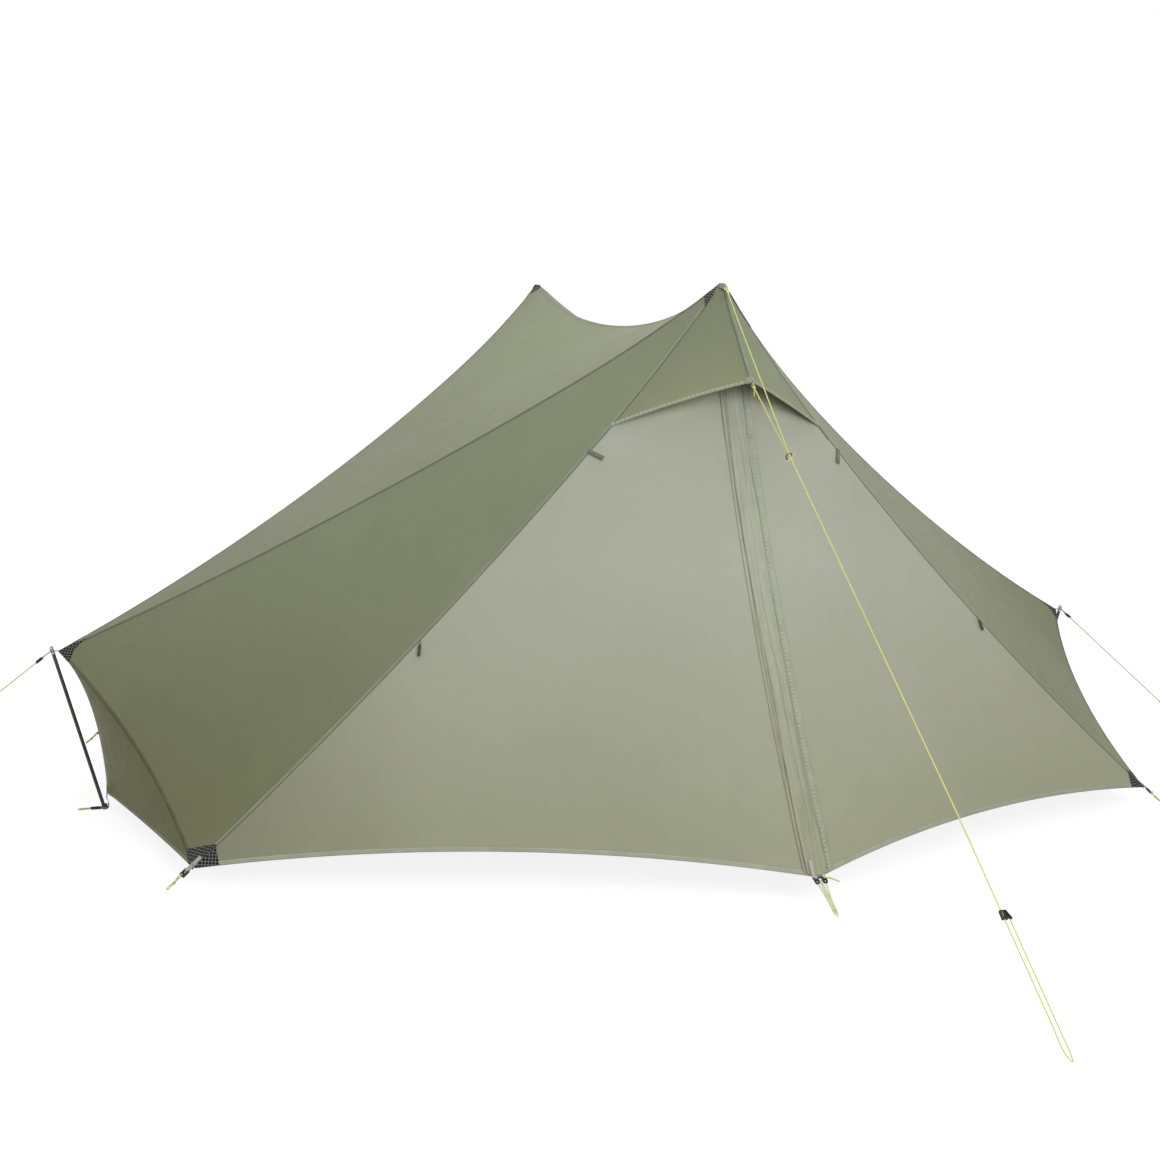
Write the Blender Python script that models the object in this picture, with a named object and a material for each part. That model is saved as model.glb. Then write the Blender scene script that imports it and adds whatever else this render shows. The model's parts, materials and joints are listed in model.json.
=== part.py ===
"""Ultralight tent held up by two trekking poles, with a short strut outside each end.

Metres, +Z up. The origin is on the ground under the middle of the tent. +X runs along the
sleeping length, the front door faces -Y, and the tent is alike left and right, front and back.
"""
import bpy
import numpy as np
from math import cos, sin, pi, radians

# Driving dimensions of the fly, in metres
PEAK_HEIGHT = 1.192          # apex of the fabric over each pole, under the domed cap
PEAK_Y = 0.571               # each pole stands this far from the middle
RIDGE_SAG = 0.078            # first guess of the ridge's dip, before the form is found
CORNER_X = 1.135             # ground corners of the fly
CORNER_Y = 0.640
CORNER_Z = 0.042
DOOR_FOOT_Y = 1.098          # foot of each door, where its zip ends
DOOR_FOOT_Z = 0.058
TIP_X = 1.318                # tips of the fly beside the end struts
TIP_Z = 0.366
END_HEM_X = 1.216            # middle of each end hem
END_HEM_Z = 0.037
SURFACE_CENTRE = (0.0, 0.0, 0.25)    # a point inside, which tells out from in

# Prestress of the fly: the stress of each panel, and the tension of each seam and hem over it
PANEL_STRESS = {"roof": 1.50, "side": 1.00, "end": 0.81, "door": 1.13}
SEAM_TENSION = {
    ("PF", "R"): 2.47, ("PF", "LT"): 3.72, ("PF", "FL"): 4.17, ("LT", "FL"): 1.38,
    ("LT", "ML"): 0.24, ("FL", "F"): 5.09, ("ML", "FL"): 8.27, ("PF", "F"): 3.25,
}
FORM_STEPS = 5
VISOR_ROW = 3
LEAF_ROW = 4
# Rows down from a peak, as shares of a seam: the visor ends on one, the door leaves start on the next
PEAK_ROWS = [0.0, 0.08, 0.16, 0.235, 0.26, 0.35, 0.44, 0.53, 0.62, 0.71, 0.80, 0.90, 1.0]

# Fabric solids
FABRIC = 0.0012              # thickness of a fabric solid
SEAM_INSET = 0.00025         # each panel stops this far short of a seam
LEAF_INSET = 0.0005          # a door leaf or flap stops this far short of its edges
HEAD_INSET = 0.0010          # and the fixed cloth over the door
FLAT_GAP = 0.0004            # between two layers that lie on each other
APEX_CUT = 0.020             # panels stop this far from the apex, under the peak patch
PATCH = 0.0010               # thickness of a reinforcing patch
FLAP_WIDTH = 0.030           # storm flap, from the zip
FLAP = 0.0008

# Visor over each door
VISOR_OUT = 0.156            # middle of its front edge, from the pole
VISOR_DROP = 0.190           # and below the apex
VISOR_COLUMNS = 4
VISOR_HEM_RISE = 0.006

# Peak patch and cap
CAP_RADIUS = 0.012
CAP_RIM = 0.024
CAP_RISE = 0.0068
PATCH_RIDGE = 0.055
PATCH_SEAM = 0.060
PATCH_VISOR = 0.030

# Patches on the tips and the ground corners
PATCH_BEND = 0.020           # ring of points round a patch's tip
TIP_PATCH_ROOF = 0.031
TIP_PATCH_SEAM = 0.052
TIP_PATCH_END = 0.042
CORNER_PATCH_HEM = 0.046
CORNER_PATCH_END = 0.046
CORNER_PATCH_SEAM = 0.070
CORNER_PATCH_OFF_SEAM = 0.015   # share by which it keeps off the door's seam

# Zip sliders, on the inner face of the left leaves
SLIDER_WIDTH = 0.008
SLIDER_LENGTH = 0.016
SLIDER_THICK = 0.004
SLIDER_OFF_ZIP = 0.002
SLIDER_START = 0.30          # share of the zip, from the peak
SLIDER_END = 0.50
SLIDER_SAMPLES = 12
SLIDER_SAG_MARGIN = 3.0      # the travel clears this many times the cloth's sag on its way
PULL_INSET = 0.0016          # pull tag, narrower than its slider
PULL_START = 0.005
PULL_END = 0.035
PULL_LOW = 0.0024
PULL_HIGH = 0.0052

# End struts, outside the fly
STRUT_FOOT_OUT = 0.006       # foot of the strut, beyond the end hem
STRUT_TOP_OUT = 0.016        # top of the strut, beyond the fly's tip
STRUT_TOP_UP = 0.011
STRUT_RADIUS = 0.004
STRUT_TIP_RADIUS = 0.0034
STRUT_TIP_LENGTH = 0.012
STRUT_PAD_RADIUS = 0.006
STRUT_PAD_HEIGHT = 0.012
EDGE = 0.0015                # small chamfers

# Webbing and line locks
WEBBING = 0.0012
WEBBING_WIDTH = 0.012
LAP = 0.0004                 # solids joined in one piece run into each other this far
LOCK_LENGTH = 0.018
LOCK_WIDTH = 0.014
END_LOCK_WIDTH = 0.011
LOCK_THICK = 0.005
CORNER_STRAP_IN = 0.030      # webbing over the corner patch
CORNER_STRAP_OUT = 0.009     # and past the corner, to its line lock
FOOT_LOOP_LOW = 0.0012       # strap round the strut's foot, above the ground
FOOT_LOOP_HEIGHT = 0.0048
FOOT_LOCK_LENGTH = 0.024
HEAD_LOOP_DOWN = 0.008       # strap round the strut's head, below its top
HEAD_LOOP_HEIGHT = 0.007
HEAD_STRAP_WIDTH = 0.006
END_STRAP = 0.022            # from that strap to the end guy's line lock
END_STRAP_WIDTH = 0.0084

# Trekking poles, grip up in the peak and tip down
FIT_GAP = 0.0003             # between pieces that touch
TUBE_GAP = 0.0006            # round a shaft that slides in another
LOWER_RADIUS = 0.0070
SHAFT_WALL = 0.0014
CLAMP_WALL = 0.0050
GRIP_WALL = 0.0032
GRIP_RADIUS = 0.0145         # head of the grip
GRIP_LENGTH = 0.150          # below the head
GRIP_DIMPLE = 0.0005
GRIP_CAP = 0.084             # from the top of the shaft to the head
GRIP_VENT = 0.0008
SHAFT_BOTTOM = 0.600         # lower end of the upper shaft
SHAFT_OVERLAP = 0.140        # of the lower shaft in the upper one
POLE_TIP_RADIUS = 0.0045
POLE_TIP_LENGTH = 0.035
POLE_SHOULDER = 0.008
BASKET_RADIUS = 0.025
BASKET_HEIGHT = 0.050
BASKET_THICK = 0.005
CLAMP_HEIGHT = 0.042
LEVER_THICK = 0.0040
LEVER_HEIGHT = 0.030
LEVER_HALF_ANGLE = 62.0
LEVER_STEPS = 6
ROUND_SIDES = 16

# Inner tent, measured in from the fly
FLOOR_END_GAP = 0.095        # from the fly's ground corners to the floor's rim
FLOOR_SIDE_GAP = 0.165
FLOOR_RIM_Z = 0.100
FLOOR_SLOPE = 0.030          # the walls lean out by this
FLOOR_THICK = 0.0012
INNER_PEAK_IN = 0.116
INNER_PEAK_DROP = 0.152
INNER_RIDGE_SAG = 0.080
INNER_TIP_IN = 0.318
INNER_TIP_DROP = 0.036
INNER_THICK = 0.0010
INNER_ROWS = 6
INNER_HEM_TENSION = 60.0
INNER_SEAM_TENSION = 6.0
INNER_SNAP = 0.004           # points this near the floor's rim lie on it
DOORWAY_ROW = 2              # rows of mesh over a doorway
DOORWAY_STEP = 1             # columns of mesh beside it
HANG_TAPE_WIDTH = 0.008      # tape from the inner peak to the fly's ridge

# Guy lines
CORD_RADIUS = 0.00125
CORD_STEP = 0.040
CORD_END = 0.0006            # a cord stops this far short of what holds it
CORD_STRAIGHT = 0.004        # and leaves it straight for this far
PEG_LIFT = 0.002             # of a cord over the ground at its peg
GUY_FOOT_Y = 1.905           # pegs of the main guys
TENSIONER_UP = 0.2606        # tensioner, up the guy from its peg
TENSIONER_LENGTH = 0.018
TENSIONER_LEFT = 0.0045
TENSIONER_RIGHT = 0.0144
TENSIONER_THICK = 0.007
BORE_GAP = 0.0004
RETURN_SPACING = 0.010       # between the two strands below the tensioner
RING_OUT = 0.180             # ring on the guy, beyond the visor's edge
VISOR_TAB_OUT = 0.003        # start of the visor's cord, off the visor's edge
VISOR_TAB_DROP = 0.0035
END_GUY_FOOT_X = 1.800       # pegs of the end guys
END_GUY_SHOWN_X = {1: 1.470, -1: 1.715}  # where each ends in its knot, just past the photograph
PEG_LOOP = 0.005             # radius of the bend round a peg
LINE_BEND = 0.012
LINE_STRAIGHT = 0.060
CORNER_PEG_OUT = 0.052
DOOR_PEG_OUT = 0.078
HOOK_LENGTH = 0.014
HOOK_WIDTH = 0.010
HOOK_THICK = 0.004
HOOK_SPACING = 0.018
HOOK_BAR = 0.0288
HOOK_BAR_SIZE = 0.0032
DOOR_LOOP = 0.0035

FLY_GREEN = (0.227, 0.243, 0.169)
DOOR_GREEN = (0.402, 0.420, 0.337)
SEAM_GREEN = (0.270, 0.300, 0.215)
BLACK = (0.012, 0.012, 0.013)
CARBON = (0.022, 0.022, 0.020)
WEBBING_GREY = (0.46, 0.46, 0.41)
CORD_GREEN = (0.66, 0.75, 0.14)
ALUMINIUM = (0.35, 0.36, 0.37)
FOAM = (0.045, 0.045, 0.050)
MESH_GREY = (0.10, 0.11, 0.11)
FLOOR_GREY = (0.13, 0.15, 0.14)

MERGE = 6                    # decimals that tell two points apart


def clear_scene():
    for thing in list(bpy.data.objects):
        bpy.data.objects.remove(thing, do_unlink=True)


def material(name, colour, roughness, metallic=0.0):
    found = bpy.data.materials.get(name)
    if found:
        return found
    made = bpy.data.materials.new(name)
    made.use_nodes = True
    shader = made.node_tree.nodes["Principled BSDF"]
    shader.inputs["Base Color"].default_value = (*colour, 1.0)
    shader.inputs["Roughness"].default_value = roughness
    shader.inputs["Metallic"].default_value = metallic
    return made


def add_mesh(name, points, faces, finish, smooth=False, origin=(0.0, 0.0, 0.0)):
    """Make one object from world points, with its own origin."""
    mesh = bpy.data.meshes.new(name)
    start = np.array(origin, float)
    mesh.from_pydata([tuple(np.array(p, float) - start) for p in points], [], faces)
    mesh.update()
    if smooth:
        mesh.shade_smooth()
        mesh.set_sharp_from_angle(angle=radians(35))
    thing = bpy.data.objects.new(name, mesh)
    thing.location = origin
    bpy.context.collection.objects.link(thing)
    thing.data.materials.append(finish)
    return thing


def unit(v):
    return np.array(v, float) / np.linalg.norm(v)


def mirrored(point, side, end):
    return np.array(point, float) * np.array((side, end, 1.0))


# The tensioned surface

def edge_points(corners, first, second, rows):
    """Points from one corner to another, at the rows' shares where the edge leaves a peak."""
    a, b = corners[first], corners[second]
    return [a + (b - a) * share for share in rows]


def find_form(corners, rows, stress, tension, steps):
    """Find the balanced shape of a quarter of a tensioned tent.

    The panels carry an even stress, as a soap film does, and the seams are cables between them.
    The quarter is mirrored on x = 0 and y = 0, so points there stay in their plane.
    """
    panels = {"roof": ("PF", "R", "LT"), "side": ("PF", "LT", "FL"),
              "end": ("LT", "ML", "FL"), "door": ("PF", "FL", "F")}
    count = len(rows) - 1
    even = [k / count for k in range(count + 1)]
    points = []
    edges = {}
    ids = {}

    def vertex(place):
        points.append(np.array(place, float))
        return len(points) - 1

    for key, place in corners.items():
        ids[key] = vertex(place)

    def edge(first, second):
        if (first, second) in edges:
            return edges[(first, second)]
        if (second, first) in edges:
            return edges[(second, first)][::-1]
        shares = rows if first == "PF" else even
        if second == "PF":
            shares = [1.0 - share for share in rows[::-1]]
        inside = edge_points(corners, first, second, shares)[1:-1]
        edges[(first, second)] = [ids[first]] + [vertex(p) for p in inside] + [ids[second]]
        return edges[(first, second)]

    grids = {}
    for name, (a, b, c) in panels.items():
        ab, bc, ac = edge(a, b), edge(b, c), edge(a, c)
        shares = rows if a == "PF" else even
        grid = {}
        for row in range(count + 1):
            for step in range(row + 1):
                if step == 0:
                    grid[row, step] = ab[row]
                elif step == row:
                    grid[row, step] = ac[row]
                elif row == count:
                    grid[row, step] = bc[step]
                else:
                    along = corners[b] + (corners[c] - corners[b]) * (step / row)
                    grid[row, step] = vertex(corners[a] + (along - corners[a]) * shares[row])
        grids[name] = grid

    place = np.array(points)
    triangles = []
    for name, grid in grids.items():
        for row in range(count):
            for step in range(row + 1):
                triangles.append((grid[row, step], grid[row + 1, step], grid[row + 1, step + 1], name))
                if step < row:
                    triangles.append((grid[row, step], grid[row + 1, step + 1],
                                      grid[row, step + 1], name))
    index = np.array([t[:3] for t in triangles])
    film = np.array([stress[t[3]] for t in triangles])
    on_x = np.abs(place[:, 0]) < 1e-9
    on_y = np.abs(place[:, 1]) < 1e-9
    held = np.zeros(len(place), bool)
    held[[ids[k] for k in ("PF", "LT", "FL", "ML", "F")]] = True
    for _ in range(steps):
        weight = np.zeros((len(place), len(place)))
        for turn in range(3):
            i, j, k = (index[:, (turn + n) % 3] for n in range(3))
            u, v = place[j] - place[i], place[k] - place[i]
            area = np.maximum(np.linalg.norm(np.cross(u, v), axis=1), 1e-9)
            cot = film * (u * v).sum(axis=1) / area / 2
            np.add.at(weight, (j, k), cot)
            np.add.at(weight, (k, j), cot)
        for (first, second), line in edges.items():
            pull = tension.get((first, second), tension.get((second, first), 0.0))
            flat = all(on_x[v] for v in line) or all(on_y[v] for v in line)
            for u, v in zip(line, line[1:]):
                force = pull * (0.5 if flat else 1.0) / np.linalg.norm(place[u] - place[v])
                weight[u, v] += force
                weight[v, u] += force
        stiff = np.diag(weight.sum(axis=1)) - weight
        moved = place.copy()
        for axis, plane in enumerate((on_x, on_y, np.zeros(len(place), bool))):
            fixed = held | plane
            free = ~fixed
            right = -stiff[np.ix_(free, fixed)] @ place[fixed, axis]
            moved[free, axis] = np.linalg.solve(stiff[np.ix_(free, free)], right)
        place = moved
    return place, edges, grids, count


class Surface:
    """All four quarters of a tensioned surface, with panels named by side and end."""

    def __init__(self, centre):
        self.centre = np.array(centre, float)
        self.place = []
        self.lookup = {}
        self.faces = []

    def point(self, place):
        key = tuple(np.round(place, MERGE) + 0.0)
        if key not in self.lookup:
            self.lookup[key] = len(self.place)
            self.place.append(np.array(place, float))
        return self.lookup[key]

    def face(self, corners, label):
        a, b, c = (self.place[v] for v in corners)
        normal = np.cross(b - a, c - a)
        if normal @ ((a + b + c) / 3 - self.centre) < 0:
            corners = corners[::-1]
        self.faces.append((tuple(corners), label))

    def normal(self, corners):
        a, b, c = (self.place[v] for v in corners)
        return unit(np.cross(b - a, c - a))

    def finish(self):
        """Work out, for each point, the offset that moves all faces round it by one."""
        around = {}
        for corners, _ in self.faces:
            normal = self.normal(corners)
            for v in corners:
                around.setdefault(v, []).append(normal)
        self.mitre = {v: mitre_of(normals) for v, normals in around.items()}

    def pick(self, *labels):
        return [corners for corners, label in self.faces if label in labels]


def mitre_of(normals):
    """The offset that moves every one of these planes by one, and no more than it must."""
    rows = np.array(normals)
    return np.linalg.pinv(rows, rcond=0.08) @ np.ones(len(rows))


def shell_mesh(faces, place, mitre, top, bottom, inset):
    """A closed shell between two depths under some faces, drawn in along its free edges."""
    used = sorted({v for corners in faces for v in corners})
    directed = {(c[k], c[(k + 1) % 3]) for c in faces for k in range(3)}
    rim = [(u, v) for u, v in directed if (v, u) not in directed]
    owner = {}
    for corners in faces:
        for k in range(3):
            owner[(corners[k], corners[(k + 1) % 3])] = corners
    pulls = {}
    for u, v in rim:
        a, b, c = (place[w] for w in owner[(u, v)])
        normal = unit(np.cross(b - a, c - a))
        inward = np.cross(normal, unit(place[v] - place[u]))
        for w in (u, v):
            pulls.setdefault(w, []).append((inward, normal))
    shift = {}
    for v, pairs in pulls.items():
        rows = [inward for inward, _ in pairs] + [unit(sum(n for _, n in pairs))]
        wanted = [inset] * len(pairs) + [0.0]
        shift[v] = np.linalg.pinv(np.array(rows), rcond=0.08) @ np.array(wanted)
    base = {v: place[v] + shift.get(v, 0.0) for v in used}
    number = {v: k for k, v in enumerate(used)}
    points = [base[v] - mitre[v] * top for v in used]
    points += [base[v] - mitre[v] * bottom for v in used]
    size = len(used)
    made = [tuple(number[v] for v in corners) for corners in faces]
    made += [tuple(number[v] + size for v in corners[::-1]) for corners in faces]
    for u, v in rim:
        made.append((number[v], number[u], number[u] + size, number[v] + size))
    return points, made


def add_shell(name, faces, place, mitre, finish, top=0.0, bottom=FABRIC, inset=SEAM_INSET,
              origin=(0.0, 0.0, 0.0)):
    points, made = shell_mesh(faces, place, mitre, top, bottom, inset)
    return add_mesh(name, points, made, finish, origin=origin)


FLY_CORNERS = {
    "PF": np.array((0.0, -PEAK_Y, PEAK_HEIGHT)),
    "R": np.array((0.0, 0.0, PEAK_HEIGHT - RIDGE_SAG)),
    "LT": np.array((-TIP_X, 0.0, TIP_Z)),
    "FL": np.array((-CORNER_X, -CORNER_Y, CORNER_Z)),
    "ML": np.array((-END_HEM_X, 0.0, END_HEM_Z)),
    "F": np.array((0.0, -DOOR_FOOT_Y, DOOR_FOOT_Z)),
}


def side_word(side):
    return "left" if side > 0 else "right"


def end_word(end):
    return "front" if end > 0 else "back"


def build_fly_surface():
    """The fly's four quarters, with the apex cut away and a column beside each zip."""
    place, edges, grids, count = find_form(FLY_CORNERS, PEAK_ROWS, PANEL_STRESS,
                                           SEAM_TENSION, FORM_STEPS)
    fly = Surface(SURFACE_CENTRE)
    fly.zip_line = {}
    fly.flap_line = {}
    fly.seam = {}
    for side in (1, -1):
        for end in (1, -1):
            add_quarter(fly, place, edges, grids, count, side, end)
    fly.finish()
    return fly


def add_quarter(fly, place, edges, grids, count, side, end):
    def world(v):
        return mirrored(place[v], side, end)

    names = {"roof": f"{side_word(side)}_roof", "end": f"{side_word(side)}_end",
             "side": f"{end_word(end)}_{side_word(side)}_side",
             "door": f"{end_word(end)}_{side_word(side)}_door"}
    apex = mirrored(FLY_CORNERS["PF"], side, end)
    zip_points = []
    flap_points = []
    for row in range(count + 1):
        last = world(grids["door"][row, row])
        zip_points.append(last)
        if row >= LEAF_ROW:
            beside = world(grids["door"][row, row - 1])
            flap_points.append(last + unit(beside - last) * FLAP_WIDTH)
    fly.zip_line[side, end] = zip_points
    fly.flap_line[side, end] = flap_points
    fly.seam[side, end] = {key: [world(v) for v in line] for key, line in edges.items()}
    for name, grid in grids.items():
        for row in range(count):
            for step in range(row + 1):
                a, b, c = (world(grid[r, s]) for r, s in
                           ((row, step), (row + 1, step), (row + 1, step + 1)))
                label = names[name]
                if name == "door" and row < LEAF_ROW:
                    label = names[name].replace("door", "head")
                if row == 0 and name != "end":
                    near_b = apex + unit(b - apex) * APEX_CUT
                    near_c = apex + unit(c - apex) * APEX_CUT
                    quad(fly, near_b, b, c, near_c, label if name != "door" else "unused")
                elif name == "door" and row >= LEAF_ROW and step == row:
                    low, high = flap_points[row - LEAF_ROW + 1], flap_points[row - LEAF_ROW]
                    quad(fly, a, high, low, c, label)
                    fly.face([fly.point(p) for p in (high, b, low)], label)
                else:
                    fly.face([fly.point(p) for p in (a, b, c)], label)
                if step < row:
                    d = world(grid[row, step + 1])
                    if name == "door" and row >= LEAF_ROW and step == row - 1:
                        d = flap_points[row - LEAF_ROW]
                    fly.face([fly.point(p) for p in (a, c, d)], label)


def quad(fly, a, b, c, d, label):
    fly.face([fly.point(p) for p in (a, b, c)], label)
    fly.face([fly.point(p) for p in (a, c, d)], label)


def build_panels(fly, finishes):
    """Roof, side and end panels, each one closed shell that is mitred on its seams."""
    for side in (1, -1):
        word = side_word(side)
        add_shell(f"{word}_roof_panel", fly.pick(f"{word}_roof"), fly.place, fly.mitre,
                  finishes["fly"])
        add_shell(f"{word}_end_panel", fly.pick(f"{word}_end"), fly.place, fly.mitre,
                  finishes["fly"])
        for end in (1, -1):
            label = f"{end_word(end)}_{word}_side"
            add_shell(f"{label}_panel", fly.pick(label), fly.place, fly.mitre, finishes["fly"])


def build_door_head(fly, end, finishes):
    """The fixed cloth above the door leaves, tucked behind the visor."""
    word = end_word(end)
    faces = fly.pick(f"{word}_left_head", f"{word}_right_head")
    add_shell(f"{word}_door_head", faces, fly.place, fly.mitre, finishes["door"],
              top=FABRIC + FLAT_GAP, bottom=2 * FABRIC + FLAT_GAP, inset=HEAD_INSET)


def hinge_points(fly, side, end):
    """Top and bottom of a door leaf's outer seam."""
    line = fly.seam[side, end][("PF", "FL")]
    return line[LEAF_ROW], line[-1]


def build_leaf(fly, side, end, finishes):
    """One door leaf, with its origin on the line that it swings about."""
    name = f"{end_word(end)}_{side_word(side)}_door"
    top, bottom = hinge_points(fly, side, end)
    add_shell(f"{name}_leaf", fly.pick(name), fly.place, fly.mitre, finishes["door"],
              inset=LEAF_INSET, origin=(top + bottom) / 2)


def build_flap(fly, end, finishes):
    """Storm flap on the left leaf's zip edge."""
    zip_points = fly.zip_line[1, end][LEAF_ROW:]
    beside = fly.flap_line[1, end]
    faces = []
    for k in range(len(beside) - 1):
        ids = [fly.point(p) for p in (zip_points[k], beside[k], beside[k + 1], zip_points[k + 1])]
        for corners in ((ids[0], ids[1], ids[2]), (ids[0], ids[2], ids[3])):
            a, b, c = (fly.place[v] for v in corners)
            outward = np.cross(b - a, c - a) @ ((a + b + c) / 3 - fly.centre)
            faces.append(corners if outward > 0 else corners[::-1])
    add_shell(f"{end_word(end)}_storm_flap", faces, fly.place, fly.mitre, finishes["seam"],
              top=-(FLAT_GAP + FLAP), bottom=-FLAT_GAP, inset=LEAF_INSET)


def build_slider(fly, end, finishes):
    """Zip slider with its pull tag, which runs down the inner face of the left leaf."""
    start, across, inward = zip_place(fly, end, SLIDER_START)
    axis = unit(slider_travel(fly, end))
    inward = unit(inward - axis * (inward @ axis))
    across = unit(np.cross(inward, axis))
    across = across if across[0] < 0 else -across
    low = start + across * SLIDER_OFF_ZIP + inward * (FABRIC + FLAT_GAP)

    def box(sides, lengths, depths):
        return [low + across * i + axis * j + inward * k for i in sides for j in lengths
                for k in depths]

    name = f"{end_word(end)}_zip_slider"
    main = add_box_points(name, box((0.0, SLIDER_WIDTH), (0.0, SLIDER_LENGTH), (0.0, SLIDER_THICK)),
                          finishes["black"], low)
    tag = box((PULL_INSET, SLIDER_WIDTH - PULL_INSET), (PULL_START, PULL_END), (PULL_LOW, PULL_HIGH))
    join(main, add_box_points(f"{name}_pull", tag, finishes["black"], low))


def slider_travel(fly, end):
    """The slider's way down its zip, as one straight line that clears the curved leaf."""
    start, _, inward = zip_place(fly, end, SLIDER_START)
    stop = zip_place(fly, end, SLIDER_END)[0]
    along = unit(stop - start)
    sag = 0.0
    for k in range(1, SLIDER_SAMPLES):
        share = SLIDER_START + (SLIDER_END - SLIDER_START) * k / SLIDER_SAMPLES
        between, beside, _ = zip_place(fly, end, share)
        for point in (between, between + beside * SLIDER_WIDTH):
            off = point - start
            sag = max(sag, (off - along * (off @ along)) @ inward)
    return stop + inward * SLIDER_SAG_MARGIN * sag - start


def zip_place(fly, end, share):
    """A point on the left leaf's zip edge, the way across the leaf and the way inward there."""
    line = fly.zip_line[1, end]
    for k in range(LEAF_ROW, len(line) - 1):
        if PEAK_ROWS[k] <= share <= PEAK_ROWS[k + 1]:
            part = (share - PEAK_ROWS[k]) / (PEAK_ROWS[k + 1] - PEAK_ROWS[k])
            point = line[k] + (line[k + 1] - line[k]) * part
            flap = fly.flap_line[1, end][k - LEAF_ROW:]
            across = unit(flap[0] + (flap[1] - flap[0]) * part - point)
            inward = unit(np.cross(line[k + 1] - line[k], across))
            return point, across, inward if inward[1] * end > 0 else -inward
    raise ValueError("the zip has no such place")


BOX_FACES = [(0, 1, 3, 2), (4, 6, 7, 5), (0, 4, 5, 1), (2, 3, 7, 6), (0, 2, 6, 4), (1, 5, 7, 3)]


def add_box_points(name, corners, finish, origin=(0.0, 0.0, 0.0)):
    """A box from eight points counted along three ways; its faces are turned outward."""
    volume = np.cross(corners[4] - corners[0], corners[2] - corners[0]) @ (corners[1] - corners[0])
    faces = BOX_FACES if volume > 0 else [f[::-1] for f in BOX_FACES]
    return add_mesh(name, corners, faces, finish, origin=origin)


def add_bar(name, first, last, wide, width, thick, finish, origin=(0.0, 0.0, 0.0)):
    """A flat bar between two points, with its width along a given way."""
    along = unit(np.array(last, float) - first)
    wide = unit(np.array(wide, float) - along * (np.array(wide, float) @ along))
    up = np.cross(along, wide)
    corners = [np.array(p, float) + wide * (width / 2) * i + up * (thick / 2) * j
               for p in (first, last) for i in (-1, 1) for j in (-1, 1)]
    return add_box_points(name, corners, finish, origin)


def join(main, other):
    """Unite another solid with the main one, which keeps one closed body."""
    cut(main, other, "UNION")


def cut(main, other, operation="DIFFERENCE"):
    other.hide_render = True
    other.display_type = "WIRE"
    change = main.modifiers.new(other.name, "BOOLEAN")
    change.operation = operation
    change.solver = "EXACT"
    change.object = other


def fan_mesh(apex, rays, radii, normals, layers, closed=True):
    """A pyramid-like cover over the faces that meet in an apex.

    rays are unit ways along the creases, radii the length of the cover on each, normals the
    outward normals of the faces between them. layers lists rings from the apex out as
    (share of the radius, or None for the rim, lower offset, upper offset).
    """
    count = len(rays)
    mitres = []
    for k in range(count):
        if closed:
            pair = [normals[(k - 1) % count], normals[k]]
        else:
            pair = [normals[n] for n in (k - 1, k) if 0 <= n < len(normals)]
        mitres.append(mitre_of(pair))
    tip = mitre_of(normals)
    tip = tip / min(tip @ n for n in normals)
    points = [apex + tip * layers[0][1], apex + tip * layers[0][2]]
    rings = []
    for reach, lower, upper in layers[1:]:
        ring = []
        for k in range(count):
            out = radii[k] if reach is None else reach
            base = apex + rays[k] * out
            ring.append((len(points), len(points) + 1))
            points += [base + mitres[k] * lower, base + mitres[k] * upper]
        rings.append(ring)
    faces = []
    spans = [(k, (k + 1) % count) for k in range(count if closed else count - 1)]
    for a, b in spans:
        faces.append((1, rings[0][a][1], rings[0][b][1]))
        faces.append((0, rings[0][b][0], rings[0][a][0]))
        for inner, outer in zip(rings, rings[1:]):
            faces.append((inner[a][1], outer[a][1], outer[b][1], inner[b][1]))
            faces.append((inner[a][0], inner[b][0], outer[b][0], outer[a][0]))
        faces.append((rings[-1][a][1], rings[-1][a][0], rings[-1][b][0], rings[-1][b][1]))
    if not closed:
        for k, turn in ((0, 1), (count - 1, -1)):
            chain = [1] + [ring[k][1] for ring in rings] + [ring[k][0] for ring in rings[::-1]] + [0]
            faces.append(tuple(chain[::-turn]))
    return points, faces


def turned_out(points, faces):
    """Reverse all faces if the closed mesh is inside out."""
    volume = 0.0
    for face in faces:
        for k in range(1, len(face) - 1):
            a, b, c = (points[face[n]] for n in (0, k, k + 1))
            volume += np.cross(a, b) @ c
    return faces if volume > 0 else [face[::-1] for face in faces]


def fan_normals(rays, outward):
    """Normals of the planes between neighbouring rays, turned to the outside."""
    made = []
    for a, b in zip(rays, rays[1:] + rays[:1]):
        normal = unit(np.cross(a, b))
        made.append(normal if normal @ outward > 0 else -normal)
    return made


def visor_middle(end):
    return np.array((0.0, -(PEAK_Y + VISOR_OUT) * end, PEAK_HEIGHT - VISOR_DROP))


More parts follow.
